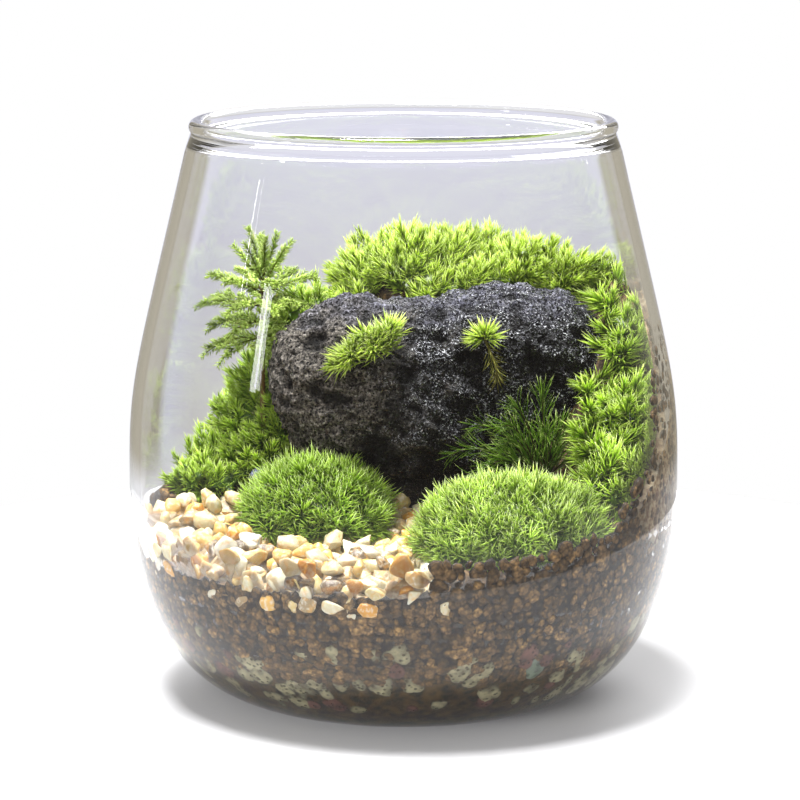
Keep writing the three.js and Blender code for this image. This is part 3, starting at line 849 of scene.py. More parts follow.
def drainage_mesh():
    """A bed of silt on the jar's floor with stones against the glass, most of them pumice."""
    stream = random.Random(9)
    bottom = FLOOR - SILT_CONTACT
    side = [point for point in wall_outline(WALL - SILT_CONTACT, bottom) if point.z < SILT_TOP]
    core = lathed([UP * bottom, *side, UP * side[-1].z], SILT_STEPS)
    carry(core, "tone")
    for height, angle in wall_places(STONE_STEP, DRAINAGE_LOW, DRAINAGE_TOP, stream):
        share = stream.random()
        if share < (0.3 if height < 15 * MM else 0.5):
            continue
        kinds = silt_lumps if share > 0.86 else stones
        size = stream.uniform(0.5, 0.95)
        chosen = stream.choice(kinds)
        stamp(core, chosen, laid_on_wall(height, angle, STONE_DEPTH * size, size, STONE_FLATNESS, stream))
    place = laid_on_wall(14 * MM, GREEN_STONE_ANGLE, STONE_DEPTH, 0.9, STONE_FLATNESS, stream)
    stamp(core, green_lump, place)
    return as_mesh(core, "drainage")


drainage = seated(drainage_mesh(), STONE_CONTACT)
piece("pumice_and_lava_stones", drainage, stone_materials, "drainage", "drainage_stones")

# %% [markdown]
# ## The gravel
#
# The pebbles are crushed quartz: angular, a little worn, milky white to gold, and they let light
# in. A ball with noise looks like a potato, so each pebble is the tight skin round a handful of
# random points, which gives the flat faces of broken stone, and its edges are bevelled as wear
# does. Rows of pebbles lie against the glass and on the ground behind it.

# %% Quartz material
PALE_GAP_SHADE = ((0.0, 255, 255, 255), (0.3, 190, 172, 140), (0.56, 180, 160, 126), (0.75, 255, 255, 255))
QUARTZ_COLOURS = (
    (0.0, 202, 200, 186),
    (0.35, 198, 188, 148),
    (0.56, 200, 178, 118),
    (0.72, 206, 160, 72),
    (0.82, 202, 146, 56),
    (0.9, 158, 146, 116),
    (0.96, 148, 122, 80),
    (1.0, 96, 80, 58),
)

milky = {"Subsurface_Weight": 0.45, "Subsurface_Scale": 1.2 * MM, "Subsurface_Radius": (1, 0.8, 0.55)}
quartz, tree, shader = new_material("milky quartz", 0.36, **milky)
stain = ramp(tree, cloud(tree, 1.5 * MM, 3), (0.5, 0), (0.68, 0.75))
stained = mix(tree, stain, ramp(tree, own(tree, "tone"), *QUARTZ_COLOURS), (204, 158, 84))
veins = ramp(tree, cloud(tree, 0.8 * MM, 4, 0.6), (0.5, 0), (0.66, 0.6))
veined = mix(tree, veins, stained, (216, 214, 200))
paint(tree, shader, times(tree, veined, ramp(tree, own(tree, "pressed"), *PALE_GAP_SHADE)))
bump(tree, shader, cloud(tree, 0.7 * MM, 5, 0.65), 0.2 * MM, 0.9)

# %% Pebbles
PEBBLE_RADIUS = 2.5 * MM
PEBBLE_STEP = 3.3 * MM
PEBBLE_KINDS = 20
PEBBLE_POINTS = 15
PEBBLE_WEAR = 0.5 * MM
PEBBLE_SHIFT = 0.7 * MM
PEBBLE_LAYERS = (1.1 * MM, 4.0 * MM)
PEBBLES_HIGHEST = 37 * MM
GRAVEL_TOP = 42 * MM
WALL_PEBBLES = (31 * MM, 36 * MM)
CORE_TONE = 0.93
CORE_SUNK = 2.2 * MM


def pebble(seed, tone):
    """A chip of quartz: the skin round random points, its edges worn."""
    stream = random.Random(seed)
    bed = bmesh.new()
    for _ in range(PEBBLE_POINTS):
        way = Vector([stream.gauss(0, 1) for _ in range(3)]).normalized()
        bed.verts.new(way * PEBBLE_RADIUS * stream.uniform(0.84, 1.06))
    skin = bmesh.ops.convex_hull(bed, input=bed.verts)
    unused = [item for item in skin["geom_interior"] if isinstance(item, bmesh.types.BMVert)]
    bmesh.ops.delete(bed, geom=unused, context="VERTS")
    bmesh.ops.scale(bed, verts=bed.verts, vec=(1.12, 0.92, stream.uniform(0.68, 0.85)))
    bmesh.ops.dissolve_limit(bed, angle_limit=math.radians(14), verts=bed.verts, edges=bed.edges)
    worn = {"offset_type": "OFFSET", "segments": 1, "profile": 0.5, "affect": "EDGES", "material": -1}
    bmesh.ops.bevel(bed, geom=bed.edges[:], offset=PEBBLE_WEAR, clamp_overlap=True, **worn)
    carry(bed, "tone", tone)
    return as_mesh(bed, "pebble", smooth=True)


pebbles = [pebble(seed, (seed / (PEBBLE_KINDS - 1)) ** 1.15) for seed in range(PEBBLE_KINDS)]
print("faces of a pebble:", len(pebbles[0].polygons))


def gravel_mesh():
    """Pebbles on the low ground and, below them, against the glass."""
    stream = random.Random(17)
    bed = joined_copy("gravel_bed")
    carry(bed, "tone", CORE_TONE)
    for corner in bed.verts:
        corner.co.z -= CORE_SUNK
        if corner.co.z > 30.5 * MM and wall_distance(corner.co) < 3 * MM:
            laid_out(corner, 0.07 * MM)
    for column, row in [(column, row) for column in range(-16, 5) for row in range(-17, 5)]:
        x = (column + row % 2 / 2) * PEBBLE_STEP + stream.uniform(-1, 1) * PEBBLE_SHIFT
        y = row * PEBBLE_STEP * ROW_SHARE + stream.uniform(-1, 1) * PEBBLE_SHIFT
        top = gravel_only.ray_cast(Vector((x, y, JAR_HEIGHT)), -UP)[0]
        if top is None or top.z > GRAVEL_TOP:
            continue
        size = stream.uniform(0.7, 1.15)
        for sunk in PEBBLE_LAYERS:
            shift = Vector((stream.uniform(-1, 1), stream.uniform(-1, 1), stream.uniform(-0.5, 0.5)))
            spot = Vector((x, y, min(top.z, PEBBLES_HIGHEST) - sunk)) + shift * MM
            place = tumbled(spot, stream) @ Matrix.Scale(size, 4)
            stamp(bed, stream.choice(pebbles), place)
    for height, angle in wall_places(PEBBLE_STEP, *WALL_PEBBLES, stream):
        if not against_glass(gravel_only, height, angle, 3.5 * MM):
            continue
        size = stream.uniform(0.65, 1.1)
        place = laid_on_wall(height, angle, (PEBBLE_RADIUS * 0.55 - 0.6 * MM) * size, size, 0.6, stream)
        stamp(bed, stream.choice(pebbles), place)
    return as_mesh(bed, "gravel")


piece("quartz_gravel", seated(gravel_mesh(), STONE_CONTACT), [quartz], "gravel", "gravel_bed")

# %% [markdown]
# ## The lava rock
#
# Lava rock is frozen foam: black glass with thousands of pores, knobbly at every size, and it
# glints where it is wet. The imported solid has its two humps. It is rebuilt from fine even faces,
# which are then pushed in and out by layered noise for knobs and cracks and sunk into pores. A few
# shallow dents divide the rock into lobes. The finest pores are left to the material, which paints
# them near black as shade, and the glints are gloss together with painted bright specks. The knobs
# are longer than wide, along the way in which the lava once flowed. Three values on each corner tell
# the material where to paint shade, in the hollows and towards the rock's foot, how far the rock faces
# the sky, for a painted sky sheen, and how dusty and dry it is, which it is most at the left.

# %% Lava material
# grit colours by fine noise: the wet grit's brightest stops are painted glints, and the sky grit's lilac grey
# is a painted sky sheen; the dry grit is dust
GRIT_WITH_PAINTED_GLINTS = ((0.48, 1, 1, 2), (0.54, 20, 20, 24), (0.57, 104, 106, 114), (0.6, 250, 252, 255))
DRY_GRIT = ((0.38, 16, 14, 12), (0.46, 66, 62, 56), (0.56, 112, 106, 97), (0.68, 182, 176, 166))
GRIT_WITH_PAINTED_SKY_SHEEN = ((0.38, 10, 10, 13), (0.47, 50, 50, 58), (0.57, 102, 102, 116), (0.67, 186, 188, 204))

lava, tree, shader = new_material("wet black lava", 0.5, Specular_IOR_Level=0.3)
grit = cloud(tree, 0.37 * MM, 6, 0.75)
soft_grit = cloud(tree, 0.7 * MM, 7, 0.76)
small_pits = ramp(tree, cells(tree, 0.62 * MM), (0.16, 0), (0.44, 1))
wide_pits = ramp(tree, cells(tree, 1.7 * MM), (0.12, 0), (0.26, 1))
pits = times(tree, small_pits, wide_pits)
dust_clouds = math_node(tree, "MULTIPLY", cloud(tree, 6 * MM, 4, 0.6), 0.9)
dust = ramp(tree, math_node(tree, "ADD", own(tree, "dust"), dust_clouds), (0.62, 0), (1.0, 1))
# painted sheen: faces turned upwards are paler and lilac, where they would reflect the sky
sheen_patches = math_node(tree, "MULTIPLY", own(tree, "top"), cloud(tree, 5 * MM, 4, 0.6))
sheen = ramp(tree, sheen_patches, (0.34, 0), (0.66, 0.85))
# painted glints: in these patches the grit's brightest specks stand for the wet rock's glints
painted_glint_patches = ramp(tree, cloud(tree, 3.2 * MM, 4, 0.65), (0.38, 0), (0.5, 1))
dull_or_bright = mix(tree, painted_glint_patches, (13, 12, 13), ramp(tree, grit, *GRIT_WITH_PAINTED_GLINTS))
dry_or_wet = mix(tree, dust, dull_or_bright, ramp(tree, soft_grit, *DRY_GRIT))
faces = mix(tree, sheen, dry_or_wet, ramp(tree, soft_grit, *GRIT_WITH_PAINTED_SKY_SHEEN))
# painted shade: dents, hollows and the rock's foot darker by a value on each corner, and the pores near black
painted_rock_shade = ramp(tree, own(tree, "painted_rock_shade"), (0.2, 1), (0.9, 0.07))
paint(tree, shader, times(tree, mix(tree, pits, (2, 2, 2), faces), painted_rock_shade))
wet = ramp(tree, cloud(tree, 1.4 * MM, 5, 0.7), (0.42, 0.12), (0.58, 0.45))
tree.links.new(mix(tree, dust, wet, (0.75,)), shader.inputs["Roughness"])
coarse = bump(tree, shader, grit, 0.5 * MM)
bump(tree, shader, pits, 0.45 * MM, 1.0, coarse)

# %% The rock
ROCK_FACE = 0.45 * MM
FLOW_WAY = Vector((0.87, 0.1, -0.48)).normalized()
DENTS = (
    # across, height, reach and depth in millimetres, all on the side of the gravel
    (13.0, 62.7, 6.5, 1.7),
    (26.3, 60.1, 7.0, 1.6),
    (0.7, 62.2, 5.0, 1.4),
    (-1.5, 54.0, 5.5, 1.3),
    (11.7, 54.9, 6.0, 1.4),
    (-5.3, 44.9, 7.0, 1.6),
    (7.5, 42.7, 8.0, 1.6),
    (-16.9, 66.2, 4.5, 1.1),
)


def dent_depth(spot, facing):
    """How deep the dents are at a place on the rock, in millimetres."""
    wavy = spot + noise.noise_vector(spot * 0.2) * 2.5
    depth = 0
    for across, height, reach, deepest in DENTS:
        share = max(0, 1 - math.hypot(wavy.x - across, wavy.z - height) / reach)
        depth = max(depth, deepest * share * share * (3 - 2 * share))
    return depth * min(1, max(0, 0.3 - facing.y * 1.5))


def notch(value, reach, depth):
    """How deep a crack or pore is, in millimetres, where its pattern has this value."""
    return depth * max(0, reach - value) / reach


def rock_mesh():
    """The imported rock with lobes, knobs, cracks and pores."""
    mesh = rebuilt("lava_rock", ROCK_FACE, 8)
    facings = [corner.normal.copy() for corner in mesh.vertices]
    values = {"painted_rock_shade": [], "top": [], "dust": []}
    for corner, facing in zip(mesh.vertices, facings):
        spot = corner.co / MM
        along = spot - FLOW_WAY * spot.dot(FLOW_WAY) * 0.45
        knobs = noise.fractal(along * 0.16, 0.6, 2.1, 5)
        crags = noise.ridged_multi_fractal(along * 0.3, 0.75, 2.2, 4, 1.0, 2.0) - 1.25
        crack = abs(noise.noise(spot * 0.12 + Vector((5, 2, 8))))
        wide_pore = noise.voronoi(spot * 0.34)[0][0]
        small_pore = noise.voronoi(spot * 0.7)[0][0]
        fine = noise.noise(spot * 1.1)
        sunk = notch(crack, 0.08, 0.6) + (notch(wide_pore, 0.38, 0.8) + notch(small_pore, 0.36, 0.55))
        dent = dent_depth(spot, facing)
        corner.co += facing * (0.7 * knobs + 0.75 * crags + 0.3 * fine - sunk - dent + 0.3) * MM
        # painted shade: darker in the dents, between knobs, in the crags and towards the rock's foot
        shade = dent * 0.6 + 0.4 * max(0, -knobs) + 0.9 * max(0, -crags) + 0.7 * max(0, 53 - spot.z) / 14
        values["painted_rock_shade"].append(min(1, shade))
        # how far a corner faces upwards, for the painted sky sheen
        values["top"].append(max(0, facing.z * 1.3 - 0.1))
        values["dust"].append(min(1, max(0, 0.3 - 0.02 * spot.x)))
    for name, shares in values.items():
        write_values(mesh, name, shares)
    mesh.update()
    mesh.shade_smooth()
    return mesh


piece("porous_lava_rock", rock_mesh(), [lava], "lava", "lava_rock")

# %% [markdown]
# ## The small chip
#
# One blue-grey splinter lies on the gravel beside the rock. It is a small copy of the pebbles'
# recipe, smoother and darker.

# %% Chip
slate, tree, shader = new_material("blue grey slate", 0.35)
paint(tree, shader, ramp(tree, cloud(tree, 0.8 * MM, 4), (0.35, 70, 76, 100), (0.65, 146, 152, 186)))
bump(tree, shader, cloud(tree, 0.4 * MM, 4), 0.15 * MM)
low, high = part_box("dark_chip")
chip_bed = bmesh.new()
chip_size = (high - low) / (2 * PEBBLE_RADIUS)
stamp(chip_bed, pebbles[3], Matrix.Translation((low + high) / 2) @ Matrix.Diagonal((*chip_size, 1)))
piece("slate_chip", as_mesh(chip_bed, "chip"), [slate], "chip", "dark_chip")

# %% [markdown]
# ## Moss leaves
#
# All the mosses here are the same idea in different lengths: narrow leaves that stand round a short
# stem. One leaf is a three-sided spindle that curls a little. A flat strip would vanish seen on
# edge and isn't closed. The leaf carries two values for the material: how far along the leaf a
# point is, because leaves are dark at the foot and pale at the tip, and a tone of its own.

# %% A leaf
def leaf(length, width, curl, tone, bends=1):
    """One leaf along Z, widest at its middle, curled towards +X by a share of its length."""
    bed = bmesh.new()
    half = width / 2
    bmesh.ops.create_cone(bed, cap_ends=False, segments=3, radius1=half, radius2=half, depth=length)
    bmesh.ops.translate(bed, verts=bed.verts, vec=(0, 0, length / 2))
    long_edges = [e for e in bed.edges if abs(e.verts[0].co.z - e.verts[1].co.z) > length / 2]
    bmesh.ops.subdivide_edges(bed, edges=long_edges, cuts=bends, use_grid_fill=True)
    for end in (0, length):
        ring = [v for v in bed.verts if abs(v.co.z - end) < length / 100]
        bmesh.ops.pointmerge(bed, verts=ring, merge_co=(0, 0, end))
    along = carry(bed, "along")
    carry(bed, "tone", tone)
    for point in bed.verts:
        share = point.co.z / length
        point[along] = share
        point.co.x = point.co.x * 0.45 + curl * length * share**2
        point.co.z -= abs(curl) * length * share**2 * 0.4
    bmesh.ops.recalc_face_normals(bed, faces=bed.faces)
    return as_mesh(bed, "leaf", smooth=True)


def leaf_set(length, width, curl, bends=1, kinds=6):
    """Leaves of one moss that differ in length, curl and tone."""
    stream = random.Random(31)
    leaves = []
    for kind in range(kinds):
        own_length = length * stream.uniform(0.8, 1.2)
        own_width = width * stream.uniform(0.85, 1.15)
        leaves.append(leaf(own_length, own_width, curl * stream.uniform(0.2, 1.6), kind / (kinds - 1), bends))
    return leaves


# %% A shoot
def shoot(leaves, count, stem, low_spread, high_spread, seed):
    """A shoot along Z: leaves in a spiral round a stem, spread wide at its foot and steep at its tip."""
    stream = random.Random(seed)
    bed = bmesh.new()
    for index in range(count):
        share = index / (count - 1)
        spread = low_spread + (high_spread - low_spread) * share + stream.uniform(-9, 9)
        place = (
            Matrix.Translation((0, 0, stem * share))
            @ Matrix.Rotation(index * GOLDEN_ANGLE + stream.uniform(-0.3, 0.3), 4, "Z")
            @ Matrix.Rotation(math.radians(spread), 4, "Y")
            @ Matrix.Scale(stream.uniform(0.8, 1.12), 4)
        )
        stamp(bed, stream.choice(leaves), place)
    return as_mesh(bed, "shoot")


# %% [markdown]
# ## Moss materials
#
# A leaf's colour runs from nearly black green in the cushion's depth over a full green to a pale
# yellow tip; the dark of the depth is painted shade. Over it lie two slow variations, one of
# brightness from clump to clump, and one that browns a leaf here and there. A leaf is one cell
# thick, so light shines through it: a share of a translucent shader does that. A little gloss gives
# the fine white glints.

# %% Moss materials
LEAF_GLOW = 0.5
BARK = (112, 82, 46)


def moss_material(name, depth, middle, tip, dry, roughness=0.36):
    """The colours of one moss from the depth of the cushion, painted dark as shade, to the leaf tips."""
    material, tree, shader = new_material(name, roughness)
    leaf_colour = ramp(tree, own(tree, "along"), (0.0, *depth), (0.38, *middle), (0.72, *middle), (1.0, *tip))
    fresh = times(tree, leaf_colour, ramp(tree, own(tree, "tone"), (0.0, 205, 214, 190), (1.0, 1)))
    lit = times(tree, fresh, ramp(tree, cloud(tree, 5 * MM, 2), (0.35, 188, 196, 170), (0.65, 1)))
    withered = ramp(tree, cloud(tree, 2.2 * MM, 3), (0.66, 0), (0.78, 0.6))
    leaf_or_bark = mix(tree, own(tree, "bark"), mix(tree, withered, lit, dry), BARK)
    paint(tree, shader, leaf_or_bark)
    glow = add(tree, "BsdfTranslucent", {"Color": leaf_or_bark})
    leafy = add(tree, "MixShader", {0: LEAF_GLOW, 1: shader.outputs[0], 2: glow.outputs[0]})
    tree.links.new(leafy.outputs[0], tree.nodes["Material Output"].inputs["Surface"])
    return material


MOSS_COLOURS = {
    # depth, painted dark as shade, middle, tip and withered
    "bright carpet moss": ((136, 160, 34), (230, 252, 104), (252, 255, 184), (214, 196, 90)),
    "cushion moss": ((90, 122, 32), (210, 242, 98), (252, 255, 204), (186, 186, 84)),
    # a copy of the cushion moss painted lighter, as if in sunlight
    "sunlit cushion moss": ((136, 172, 56), (230, 255, 122), (252, 255, 214), (200, 200, 94)),
    "bank moss": ((106, 138, 30), (222, 250, 96), (250, 255, 180), (206, 190, 86)),
    "tuft moss": ((160, 188, 56), (236, 255, 120), (255, 255, 200), (170, 140, 60)),
    "plume moss": ((14, 30, 4), (136, 178, 50), (246, 255, 170), (140, 146, 50), 0.28),
    "tree moss": ((170, 196, 70), (236, 255, 146), (255, 255, 190), (246, 212, 136)),
}
greens = {name: moss_material(name, *settings) for name, settings in MOSS_COLOURS.items()}
print("mosses:", len(greens))

# %% [markdown]
# ## Moss cushions and carpets
#
# A moss cushion is a dome of shoots that all grow outwards, packed so tight that only their tips
# show. Each packed moss solid is smoothed into such a dome, which stays inside as the heart, painted
# in the leaf's dark depth colour as shade.
# Shoots are then scattered over it at an even spacing, with their feet sunk into the heart and
# leaning a little towards the light. Those that meet the glass are pressed flat against it, which
# is what they do in the real jar.

# %% A function for every moss
HEART_FACE = 1.0 * MM
HEART_DEPTH = 1.2 * MM
HEART_ROUNDS = 12
ROCK_OVERHANG = 60 * MM
NEAR_GROUND = 0.7 * MM
CLUMP_SIZE = 3.2 * MM


def buried(solid, point):
    """Whether a point lies inside a solid: the next face above it is then met from behind."""
    hit = solid.ray_cast(point, UP)
    return hit[0] is not None and hit[1].z > 0


def trimmed(mesh, at, away):
    """What is left of a closed mesh behind a plane, closed again."""
    bed = bmesh.new()
    bed.from_mesh(mesh)
    everything = [*bed.verts, *bed.edges, *bed.faces]
    bmesh.ops.bisect_plane(bed, geom=everything, plane_co=at, plane_no=away, clear_outer=True)
    bmesh.ops.holes_fill(bed, edges=[edge for edge in bed.edges if edge.is_boundary])
    bmesh.ops.triangulate(bed, faces=bed.faces)
    return as_mesh(bed, mesh.name)


def cut_back(heart):
    """The right bank ends beside the rock's end, and reaches further left below it."""
    bed = bmesh.new()
    for away, left_end in ((-UP, 38.8 * MM), (UP, 34 * MM)):
        part_of_bank = trimmed(heart, (0, 0, ROCK_OVERHANG), away)
        bed.from_mesh(trimmed(part_of_bank, (left_end, 0, 0), (-1, 0, 0)))
    return as_mesh(bed, heart.name)


def on_soil(x, y):
    """A place just above the soil, and the way up there, for a shoot beside its moss."""
    return soil_only.ray_cast(Vector((x * MM, y * MM, JAR_HEIGHT)), -UP)[0] + UP * 0.3 * MM, UP


def moss_mesh(node, shoots, spacing, sunk, lean, seed, outwards=0.0, gap=0.15 * MM, beside=()):
    """The smoothed heart of a packed moss, with shoots stood all over it and some beside it."""
    stream = random.Random(seed)
    heart = rebuilt(node, HEART_FACE, HEART_ROUNDS, -0.5 * MM)
    if node == "moss_right_bank":
        heart = cut_back(heart)
    bed = bmesh.new()
    bed.from_mesh(heart)
    # the heart takes the leaf foot's dark colour: painted shade under the shoots
    carry(bed, "along")
    carry(bed, "tone")
    for corner, facing in zip(list(bed.verts), [corner.normal.copy() for corner in bed.verts]):
        corner.co -= facing * HEART_DEPTH
    stood = 0
    for point, facing in [*scattered(heart, spacing, seed), *[on_soil(x, y) for x, y in beside]]:
        if ground.ray_cast(point, facing, NEAR_GROUND)[0] is not None or buried(ground, point):
            continue
        clump = noise.noise_vector(point / CLUMP_SIZE)
        jitter = random_vector(stream, 0.2)
        to_wall = point.xy.to_3d().normalized() * outwards * (1 + max(0, point.x - 28 * MM) / (6 * MM))
        way = (facing + Vector(lean) + to_wall + clump * 0.7 + jitter).normalized()
        place = (
            aimed(point - way * sunk, way)
            @ Matrix.Rotation(stream.uniform(0, FULL_TURN), 4, "Z")
            @ Matrix.Scale(stream.uniform(0.85, 1.1) + 0.35 * clump.z, 4)
        )
        stamp(bed, stream.choice(shoots), place)
        stood += 1
    print(node, "shoots:", stood)
    mesh = as_mesh(bed, node, smooth=True)
    press_to_glass(mesh, gap)
    return mesh


# %% Cushions, carpet and banks
star_leaves = leaf_set(3.5 * MM, 0.34 * MM, 0.12)
stars = [shoot(star_leaves, 26, 1.6 * MM, 66, 10, seed) for seed in range(5)]
brush_leaves = leaf_set(3.0 * MM, 0.38 * MM, 0.1)
brushes = [shoot(brush_leaves, 46, 4.0 * MM, 58, 8, seed) for seed in range(5)]
hand_leaves = leaf_set(4.4 * MM, 0.48 * MM, 0.16)
hands = [shoot(hand_leaves, 44, 4.2 * MM, 46, 6, seed) for seed in range(5)]

# across and back in millimetres, where the right bank meets the carpet
TOP_SHOOTS = (
    *((37.5, 9), (39.5, 5), (41, 9.5), (38.5, 13), (42.5, 5)),
    *((40.5, 13.5), (43.5, 9), (42, 0), (36.5, 5.5)),
)
MOSSES = (
    # piece, green, slot and node, and then its shoots, their spacing, how far they are sunk, the
    # lean, the seed, and for some how they reach for the wall, the gap there and shoots beside it
    ("front_moss_cushion", "cushion moss", "bright_moss", "moss_cushion_front")
    + (stars, 1.5 * MM, 0.9 * MM, (0, 0, 0.3), 51),
    ("right_moss_cushion", "sunlit cushion moss", "bright_moss", "moss_cushion_right")
    + (stars, 1.5 * MM, 0.9 * MM, (0, -0.1, 0.4), 52),
    ("back_moss_carpet", "bright carpet moss", "bright_moss", "moss_back_carpet")
    + (brushes, 1.95 * MM, 2.3 * MM, (0, -0.2, 0.4), 53, 0.5),
    ("right_moss_bank", "bank moss", "shade_moss", "moss_right_bank")
    + (hands, 2.0 * MM, 2.2 * MM, (0.1, -0.3, 0.3), 54, 0.1, 1.2 * MM, TOP_SHOOTS),
    ("left_moss_bank", "bank moss", "shade_moss", "moss_left_bank")
    + (brushes, 2.1 * MM, 2.4 * MM, (0, -0.1, 0.5), 55),
)
for name, green, slot, node, *settings in MOSSES:
    piece(name, moss_mesh(node, *settings), [greens[green]], slot, node)

# %% Left tuft
TUFT_LOW = Vector((-10.0, -9.2, 64.2)) * MM
TUFT_HIGH = Vector((-2.0, -7.8, 68.0)) * MM
LOW_WAY = Vector((-0.85, -0.55, 0.25))
HIGH_WAY = Vector((0.3, -0.5, 0.8))
TUFT_SHOOTS = 36
tuft_leaves = leaf_set(4.8 * MM, 0.62 * MM, 0.14)
tuft_shoots = [shoot(tuft_leaves, 22, 1.6 * MM, 52, 6, seed) for seed in range(4)]


def left_tuft_mesh():
    """Shoots in a row down from the rock's saddle, which face more and more to the left."""
    stream = random.Random(56)
    bed = bmesh.new()
    for index in range(TUFT_SHOOTS):
        share = index / (TUFT_SHOOTS - 1)
        jitter = random_vector(stream)
        spot = TUFT_LOW.lerp(TUFT_HIGH, share) + Vector((jitter.x * 1.8, jitter.y * 0.6, jitter.z * 2.0)) * MM
        way = LOW_WAY.lerp(HIGH_WAY, share) + random_vector(stream, 0.45)
        place = aimed(spot, way.normalized()) @ Matrix.Scale(stream.uniform(0.75, 0.95), 4)
        stamp(bed, stream.choice(tuft_shoots), place)
    return as_mesh(bed, "left tuft", smooth=True)


piece("left_moss_tuft", left_tuft_mesh(), [greens["tuft moss"]], "bright_moss", "moss_tuft_left")

# %% [markdown]
# ## Stems and leaves along a curve
#
# The other plants have stems of their own. A stem is a curve with a round bevel, thick at its foot
# and thin at its tip, which is how Blender makes wires and twigs. Leaves are then stamped along the
# same curve, each turned by the golden angle, so that no two lie over each other.

# %% Helpers for stems
def bow(start, middle, end, steps=8):
    """Points on the smooth curve from start over middle to end."""
    pull = 2 * middle - (start + end) / 2
    shares = [step / steps for step in range(steps + 1)]
    return [start * (1 - s) ** 2 + pull * (2 * s * (1 - s)) + end * s**2 for s in shares]


def stem_mesh(routes):
    """Round tapering stems along routes, each given as (points, thick, thin) radii."""
    curve = bpy.data.curves.new("stems", "CURVE")
    curve.dimensions = "3D"
    curve.bevel_depth = 1
    curve.bevel_resolution = 1
    curve.use_fill_caps = True
    for points, thick, thin in routes:
        line = curve.splines.new("POLY")
        line.points.add(len(points) - 1)
        for index, point in enumerate(points):
            line.points[index].co = (*point, 1)
            line.points[index].radius = thick + (thin - thick) * index / (len(points) - 1)
    return evaluated(in_scene("stems", curve))


def plant_bed(routes, woody=1):
    """A bmesh that starts with the stems, which the material is to show as bark by the share woody."""
    bed = bmesh.new()
    bed.from_mesh(stem_mesh(routes))
    closed(bed)
    carry(bed, "bark", woody)
    return bed


def leaf_along(bed, points, leaves, count, spread, size, stream, first=0.08, last_size=0.6):
    """Leaves round a route of points, from the share first of its length to its tip."""
    for index in range(count):
        share = first + (1 - first) * index / (count - 1)
        spot = min(share * (len(points) - 1), len(points) - 1.001)
        before, after = points[int(spot)], points[int(spot) + 1]
        place = (
            aimed(before.lerp(after, spot % 1), (after - before).normalized())
            @ Matrix.Rotation(index * GOLDEN_ANGLE + stream.uniform(-0.4, 0.4), 4, "Z")
            @ Matrix.Rotation(math.radians(spread + stream.uniform(-10, 10)), 4, "Y")
            @ Matrix.Scale(size * (1 + (last_size - 1) * share) * stream.uniform(0.85, 1.15), 4)
        )
        stamp(bed, stream.choice(leaves), place)


# %% [markdown]
# ## The tuft with its root
#
# The right tuft on the rock is a handful of shoots that fan out to both sides. Below them hang
# last year's leaves, brown and thin, which hold the tuft to the rock.

# %% Right tuft
TUFT_MIDDLE = Vector((15.2, -7.2, 67.6)) * MM
TUFT_WAYS = (
    (-0.95, -0.3, 0.12),
    (-0.75, -0.45, 0.5),
    (-0.2, -0.5, 0.85),
    (0.3, -0.4, 0.85),
    (0.75, -0.4, 0.3),
)
ROOT_MIDDLE = Vector((16.9, -10.6, 63.6)) * MM
ROOT_LOW = Vector((17.4, -10.4, 60.4)) * MM
root_leaves = leaf_set(4.0 * MM, 0.36 * MM, 0.2)


def right_tuft_mesh():
    """A star of leaves over a hanging brown root."""
    stream = random.Random(61)
    hanging = bow(TUFT_MIDDLE, ROOT_MIDDLE, ROOT_LOW)
    bed = plant_bed([(hanging, 0.3 * MM, 0.1 * MM)])
    leaf_along(bed, hanging, root_leaves, 54, 38, 0.95, stream, last_size=0.8)
    bark = bed.verts.layers.float["bark"]
    for corner in bed.verts:
        corner[bark] = stream.uniform(0.55, 0.8)
    for way in TUFT_WAYS:
        place = aimed(TUFT_MIDDLE, Vector(way))
        stamp(bed, stream.choice(tuft_shoots), place @ Matrix.Scale(stream.uniform(0.8, 0.95), 4))
    return as_mesh(bed, "right tuft", smooth=True)


piece("right_moss_tuft", right_tuft_mesh(), [greens["tuft moss"]], "bright_moss", "moss_tuft_right")

# %% [markdown]
# ## The plume moss
#
# Plume moss has hair-thin leaves that all sweep to one side, so each shoot looks like a fox's tail.
# The shoots spread in a fan from one root. A leaf here has two bends more than the others, because
# its sweep is what one recognises the moss by.

# %% Plume moss
PLUME_ROOT = Vector((26, -11.5, 41)) * MM
PLUME_SHOOTS = 15
PLUME_LEAVES = 56
plume_leaves = leaf_set(9.0 * MM, 0.28 * MM, 0.42, bends=3)


def plume_routes(stream):
    """The middle lines of the shoots, fanned out from the root."""
    routes = []
    for index in range(PLUME_SHOOTS):
        fan = -1.35 + 2.2 * index / (PLUME_SHOOTS - 1) + stream.uniform(-0.08, 0.08)
        length = (19.5 - 4.5 * max(0, fan)) * stream.uniform(0.62, 1.05) * MM
        out = Vector((math.sin(fan), stream.uniform(-0.42, -0.05), math.cos(fan))).normalized()
        middle = PLUME_ROOT + out * length * 0.55 + UP * 1.8 * MM
        routes.append(bow(PLUME_ROOT, middle, PLUME_ROOT + out * length - UP * 2.4 * MM))
    return routes


def plume_mesh():
    """The fan of shoots with their swept leaves."""
    stream = random.Random(71)
    routes = plume_routes(stream)
    bed = plant_bed([(route, 0.2 * MM, 0.06 * MM) for route in routes], woody=0.35)
    for route in routes:
        leaf_along(bed, route, plume_leaves, PLUME_LEAVES, 20, 0.85, stream, first=0.02, last_size=0.5)
    return as_mesh(bed, "plume moss", smooth=True)


piece("plume_moss_fan", plume_mesh(), [greens["plume moss"]], "plume", "plume_moss")

# %% [markdown]
# ## The tree moss
#
# The tree moss is a little palm: one dark stem, and at its top several whorls of branches. Each
# branch carries short leaves all round, and small side twigs in its outer half. The lower whorls
# lie flat and droop, and the top one stands up.

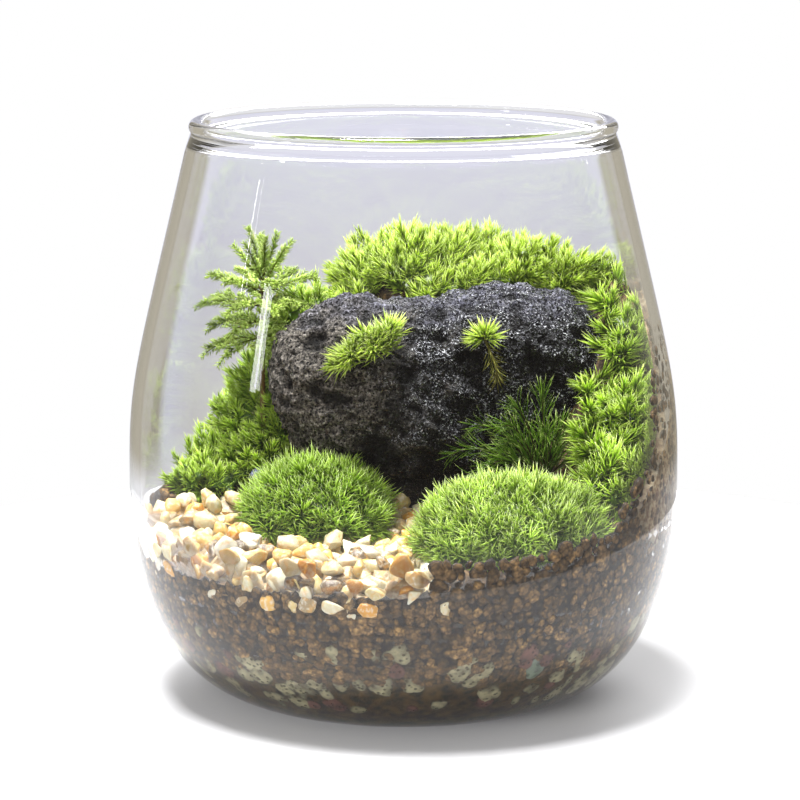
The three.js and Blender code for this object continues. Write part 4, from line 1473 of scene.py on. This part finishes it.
# %% Tree moss
TREE_FOOT = Vector((-27.2, 15, 36)) * MM
TREE_TOP = Vector((-27.2, 15, 77)) * MM
WHORLS = (
    # height, branches, reach, rise, droop, first turn
    (64.5, 8, 12.6, -0.15, 1.8, 0.0),
    (67.5, 7, 13.4, 0.0, 1.6, 0.5),
    (70.5, 8, 13.6, 0.14, 1.4, 0.2),
    (73.0, 6, 12.4, 0.42, 1.0, -0.1),
    (75.0, 5, 11.6, 1.3, 0.2, 0.55),
    (76.3, 4, 10.2, 3.2, 0.0, 0.3),
)
TWIG_PLACES = ((3, 1), (4, -1), (5, 1), (6, -1))
BRANCH_LEAVES = 92
TWIG_LEAVES = 26
TRUNK_LEAVES = 60
BARK_REACH = 6 * MM
tree_leaves = leaf_set(2.0 * MM, 0.64 * MM, 0.15)


def tree_branches(stream):
    """The middle lines of the branches, and of the twigs on them."""
    branches = []
    twigs = []
    for height, count, reach, rise, droop, turn in WHORLS:
        for index in range(count):
            angle = turn + FULL_TURN * index / count + stream.uniform(-0.12, 0.12)
            out = Vector((math.cos(angle), math.sin(angle), rise)).normalized()
            start = Vector((TREE_TOP.x, TREE_TOP.y, height * MM))
            length = reach * stream.uniform(0.82, 1.04) * MM
            end = start + out * length - UP * droop * MM
            branch = bow(start, start + out * length * 0.55 + UP * 0.3 * droop * MM, end)
            branches.append(branch)
            for place, side in TWIG_PLACES if rise < 1 else ():
                across = out.cross(UP).normalized() * side
                way = (out + across * 0.9 + UP * stream.uniform(-0.1, 0.3)).normalized()
                tip = branch[place] + way * length * (0.46 - 0.045 * place)
                twigs.append(bow(branch[place], branch[place].lerp(tip, 0.5), tip, 3))
    return branches, twigs


def tree_mesh():
    """The stem, its whorls of branches and their leaves."""
    stream = random.Random(81)
    branches, twigs = tree_branches(stream)
    trunk = bow(TREE_FOOT - UP * 2 * MM, (TREE_FOOT + TREE_TOP) / 2 - Vector((0.4 * MM, 0, 0)), TREE_TOP)
    routes = [(trunk, 0.75 * MM, 0.4 * MM)]
    routes += [(branch, 0.22 * MM, 0.08 * MM) for branch in branches]
    routes += [(twig, 0.12 * MM, 0.06 * MM) for twig in twigs]
    bed = plant_bed(routes)
    bark = bed.verts.layers.float["bark"]
    for corner in bed.verts:
        from_stem = max((corner.co.xy - TREE_TOP.xy).length, corner.co.z - TREE_TOP.z + 3 * MM)
        corner[bark] = 1 - 0.75 * min(1, from_stem / BARK_REACH)
    for branch in branches:
        leaf_along(bed, branch, tree_leaves, BRANCH_LEAVES, 44, 1.0, stream, first=0.12)
    for twig in twigs:
        leaf_along(bed, twig, tree_leaves, TWIG_LEAVES, 42, 0.8, stream)
    leaf_along(bed, trunk, tree_leaves, TRUNK_LEAVES, 50, 0.8, stream, first=0.45, last_size=1.0)
    mesh = as_mesh(bed, "tree moss", smooth=True)
    press_to_glass(mesh)
    return mesh


piece("tree_moss_palm", tree_mesh(), [greens["tree moss"]], "tree_moss", "tree_moss")
